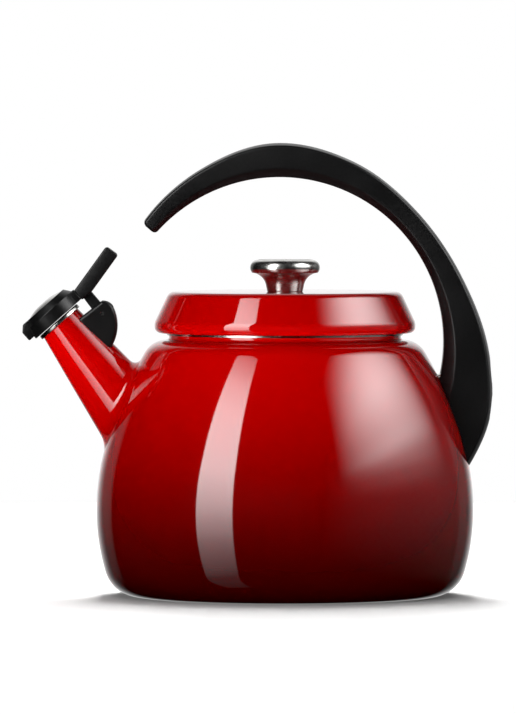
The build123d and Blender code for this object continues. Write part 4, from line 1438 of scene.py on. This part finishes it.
def name_cad_finishes(finishes: Finishes) -> None:
    """Gives each CAD node that still shows its finish."""
    by_slot = {
        finishes.brushed: ("whistle_disc", "spout_lug", "handle_bracket"),
        finishes.zinc: ("knob_washer", "knob_screw", "lever_screw", "torsion_spring", "bracket_nuts",
                        "handle_washers", "handle_screws"),
        finishes.polished: ("hinge_pin",),
        finishes.phenolic: ("hinge_cover",),
    }
    for material, names in by_slot.items():
        for name in names:
            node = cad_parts[name]
            node.data.materials.clear()
            node.data.materials.append(material)
            LOG.info("%s: CAD node in %s", name, material.name)


# ---- studio ----

class Work(Enum):
    """What a panel is for: to show in glossy surfaces, or to light all the others."""

    SHEEN = "sheen"
    SHADE = "shade"


@dataclass(frozen=True)
class Panel:
    """A glowing panel of the studio, in metres, that faces the kettle's axis."""

    name: str
    work: Work
    azimuth: float              # degrees round from the front, positive towards +X
    far: float                  # from the axis
    height: float               # of its middle
    size: tuple[float, float]
    strength: float
    side_fade: float            # share of its width over which each side fades
    rise: tuple[tuple[float, float], ...] = ((0.0, 1.0), (1.0, 1.0))
    faces: float | None = None  # height that it faces, its own if it stands upright
    only_on: str = ""           # the only object that it lights

    def matrix(self) -> Matrix:
        """Gives its place, turn and size."""
        round_by = math.radians(self.azimuth)
        spot = Vector((math.sin(round_by) * self.far, -math.cos(round_by) * self.far, self.height))
        target = Vector((0, 0, self.height if self.faces is None else self.faces))
        turn = (target - spot).to_track_quat("-Z", "Y").to_matrix().to_4x4()
        return Matrix.Translation(spot) @ turn @ Matrix.Diagonal((*self.size, 1, 1))

    def hang(self) -> None:
        """Hangs it, with a glow that falls away at its sides and follows its rise.

        It is see-through, so that the world shows behind its dim parts. Light linking keeps a panel
        that works on one object only from lighting the rest.
        """
        select_only()
        bpy.ops.mesh.primitive_plane_add(size=1.0)
        panel = bpy.context.active_object
        panel.name = self.name
        panel.matrix_world = self.matrix()
        panel.visible_camera = False
        panel.visible_diffuse = self.work is Work.SHADE
        panel.visible_glossy = self.work is Work.SHEEN
        panel.visible_shadow = False
        material = new_material(f"{self.name}_glow")
        tree = material.node_tree
        place_node = add_node(tree, "TexCoord")
        parts = add_node(tree, "SeparateXYZ", {0: place_node.outputs["Object"]})
        across = add_node(tree, "Math", {0: parts.outputs["X"]}, operation="ABSOLUTE")
        side = add_node(tree, "MapRange", {"Value": across.outputs[0], "From Min": 0.5,
                                           "From Max": 0.5 - self.side_fade}, interpolation_type="SMOOTHSTEP")
        up = add_node(tree, "Math", {0: parts.outputs["Y"], 1: 0.5}, operation="ADD")
        ramp = add_node(tree, "ValToRGB", {0: up.outputs[0]})
        ramp.color_ramp.interpolation = "CARDINAL"
        set_stops(ramp, [(share, (value, value, value, 1)) for share, value in self.rise])
        shape = add_node(tree, "Math", {0: side.outputs[0], 1: ramp.outputs["Color"]}, operation="MULTIPLY")
        glow = add_node(tree, "Math", {0: shape.outputs[0], 1: self.strength}, operation="MULTIPLY")
        shader = add_node(tree, "Emission", {"Strength": glow.outputs[0]})
        clear = add_node(tree, "BsdfTransparent")
        see_through = add_node(tree, "AddShader", {0: shader.outputs[0], 1: clear.outputs[0]})
        add_node(tree, "OutputMaterial", {"Surface": see_through.outputs[0]})
        panel.data.materials.append(material)
        if self.only_on:
            lit = bpy.data.collections.new(f"{self.name}_lit")
            lit.objects.link(bpy.data.objects[self.only_on])
            panel.light_linking.receiver_collection = lit


@dataclass
class Studio:
    """The floor, the soft lights and the camera."""

    camera_far: float = 4700.0
    camera_z: float = 261.0
    aim: tuple[float, float] = (-14.3, 126.7)
    frame_h: float = 378.4      # height of the view at the kettle
    sensor: float = 36.0
    panels: tuple[Panel, ...] = (
        Panel("strip_light", Work.SHEEN, -42.8, 1.6, 0.05, (0.665, 5.1), 9.4, 0.02,
              ((0.0, 0.012), (0.235, 0.024), (0.318, 0.055), (0.431, 0.25), (0.5, 0.56), (0.586, 0.93),
               (0.676, 1.0), (0.765, 0.9), (0.863, 0.59), (1.0, 0.2))),
        Panel("side_light", Work.SHEEN, 78.0, 1.6, 1.45, (3.3, 2.5), 9.0, 0.5,
              ((0.0, 0.0), (0.06, 0.04), (0.12, 0.12), (0.17, 0.3), (0.21, 0.56), (0.3, 0.7),
               (0.46, 0.95), (0.7, 0.56), (1.0, 0.0))),
        Panel("back_light", Work.SHADE, 180.0, 0.9, 1.5, (0.5, 1.3), 23.0, 0.1, faces=0.05,
              only_on="studio_floor"),
        Panel("top_light", Work.SHADE, 0.0, 0.001, 2.0, (2.4, 2.4), 0.75, 0.1, faces=0.0),
        Panel("front_light", Work.SHADE, -25.0, 1.6, 0.2, (3.2, 0.5), 5.4, 0.2),
    )
    backdrop_glow: float = 0.9  # of the world straight behind the kettle, in a narrow upright band
    back_glow: float = 0.09     # of the rest of it
    left_glow: float = 0.05     # and this much more on the left
    side_glow: float = 0.18     # of the world on the right, level with the kettle
    # where each glow starts and where it is full, along one axis of the way that a ray goes
    behind_y: tuple[float, float] = (0.66, 0.72)
    left_x: tuple[float, float] = (0.0, -0.6)
    beside_x: tuple[float, float] = (0.4, 1.0)
    risen_z: tuple[float, float] = (-0.5, 0.1)
    sunk_z: tuple[float, float] = (0.5, 0.25)
    near_axis_x: tuple[float, float] = (0.5, 0.2)
    far_y: tuple[float, float] = (0.3, 0.6)
    above_z: tuple[float, float] = (-0.4, -0.02)
    table_r: float = 1.1        # metres
    table_glow: float = 0.06

    def set_camera(self) -> None:
        """Places the camera in front and a little above."""
        data = bpy.data.cameras.new("camera")
        camera = bpy.data.objects.new("camera", data)
        bpy.context.scene.collection.objects.link(camera)
        data.sensor_width = self.sensor
        data.lens = self.sensor * self.camera_far / self.frame_h
        data.clip_end = 100.0
        target = point(self.aim[0], 0, self.aim[1])
        spot = point(self.aim[0], -self.camera_far, self.camera_z)
        turn = (target - spot).to_track_quat("-Z", "Y")
        camera.matrix_world = Matrix.Translation(spot) @ turn.to_matrix().to_4x4()
        bpy.context.scene.camera = camera

    def lay_floor(self) -> None:
        """Lays a plain pale floor."""
        select_only()
        bpy.ops.mesh.primitive_circle_add(vertices=96, radius=self.table_r, fill_type="NGON")
        floor = bpy.context.active_object
        floor.name = "studio_floor"
        floor.visible_glossy = False
        material = new_material("floor_paper_matt")
        tree = material.node_tree
        paper = add_node(tree, "BsdfDiffuse", {"Color": linear("f6f6f6")})
        glow = add_node(tree, "Emission", {"Strength": self.table_glow})
        lit_paper = add_node(tree, "AddShader", {0: paper.outputs[0], 1: glow.outputs[0]})
        add_node(tree, "OutputMaterial", {"Surface": lit_paper.outputs[0]})
        floor.data.materials.append(material)

    def light_world(self) -> None:
        """White to the eye, dim to the lights, and pale behind for the edges' reflections."""
        world = bpy.data.worlds.new("studio")
        bpy.context.scene.world = world
        world.use_nodes = True
        tree = world.node_tree
        tree.nodes.clear()
        way = add_node(tree, "TexCoord")
        parts = add_node(tree, "SeparateXYZ", {0: way.outputs["Generated"]})
        behind = add_node(tree, "MapRange", {
            "Value": parts.outputs["Y"], "From Min": self.behind_y[0], "From Max": self.behind_y[1],
            "To Max": self.back_glow}, interpolation_type="SMOOTHSTEP")
        left = add_node(tree, "MapRange", {
            "Value": parts.outputs["X"], "From Min": self.left_x[0], "From Max": self.left_x[1],
            "To Max": self.left_glow / self.back_glow})
        back = add_node(tree, "Math", {0: behind.outputs[0], 1: left.outputs[0], 2: behind.outputs[0]},
                        operation="MULTIPLY_ADD")
        beside = add_node(tree, "MapRange", {
            "Value": parts.outputs["X"], "From Min": self.beside_x[0], "From Max": self.beside_x[1],
            "To Max": self.side_glow})
        risen = add_node(tree, "MapRange", {
            "Value": parts.outputs["Z"], "From Min": self.risen_z[0], "From Max": self.risen_z[1]})
        sunk = add_node(tree, "MapRange", {
            "Value": parts.outputs["Z"], "From Min": self.sunk_z[0], "From Max": self.sunk_z[1]})
        level = add_node(tree, "Math", {0: risen.outputs[0], 1: sunk.outputs[0]}, operation="MULTIPLY")
        off_axis = add_node(tree, "Math", {0: parts.outputs["X"]}, operation="ABSOLUTE")
        near_axis = add_node(tree, "MapRange", {
            "Value": off_axis.outputs[0], "From Min": self.near_axis_x[0], "From Max": self.near_axis_x[1],
            "To Max": self.backdrop_glow})
        far_half = add_node(tree, "MapRange", {
            "Value": parts.outputs["Y"], "From Min": self.far_y[0], "From Max": self.far_y[1]})
        backdrop = add_node(tree, "Math", {0: near_axis.outputs[0], 1: far_half.outputs[0]},
                            operation="MULTIPLY")
        whole_back = add_node(tree, "Math", {0: back.outputs[0], 1: backdrop.outputs[0]}, operation="ADD")
        above = add_node(tree, "MapRange", {
            "Value": parts.outputs["Z"], "From Min": self.above_z[0], "From Max": self.above_z[1]})
        raised_back = add_node(tree, "Math", {0: whole_back.outputs[0], 1: above.outputs[0]},
                               operation="MULTIPLY")
        glow = add_node(tree, "Math", {0: beside.outputs[0], 1: level.outputs[0], 2: raised_back.outputs[0]},
                        operation="MULTIPLY_ADD")
        dim = add_node(tree, "Background", {"Color": linear("ffffff"), "Strength": glow.outputs[0]})
        white = add_node(tree, "Background", {"Color": linear("ffffff"), "Strength": 1.0})
        ray = add_node(tree, "LightPath")
        seen = add_node(tree, "MixShader", {0: ray.outputs["Is Camera Ray"], 1: dim.outputs[0],
                                            2: white.outputs[0]})
        add_node(tree, "OutputWorld", {"Surface": seen.outputs[0]})

    def build(self) -> None:
        """Sets up the studio."""
        self.set_camera()
        self.lay_floor()
        for panel in self.panels:
            panel.hang()
        self.light_world()
        bpy.context.scene.view_settings.view_transform = "Standard"


def main() -> None:
    """Builds the kettle piece by piece in its studio."""
    logging.basicConfig(level=logging.INFO, format="%(name)s %(message)s")
    finishes = Finishes.build()
    vessel, spout, lid, whistle = Vessel(), Spout(), Lid(), WhistleCap()
    form = vessel.form()
    vessel.build_shell(spout.frame, finishes)
    vessel.build_base(finishes)
    MouthRing().build(finishes)
    spout.build(form, finishes)
    spout.build_rim(finishes)
    lid.build_cover(finishes)
    lid.build_collar(finishes)
    Knob().build(lid.crown, finishes)
    whistle.build_ring(spout.mouth_frame, finishes)
    whistle.build_lever(spout.mouth_frame, finishes)
    whistle.build_dome(spout.mouth_frame, finishes)
    whistle.build_cup(spout.mouth_frame, finishes)
    Handle().build(form, finishes)
    bpy.data.objects.remove(form)
    name_cad_finishes(finishes)
    Studio().build()
    select_only()


if __name__ == "__main__":
    main()
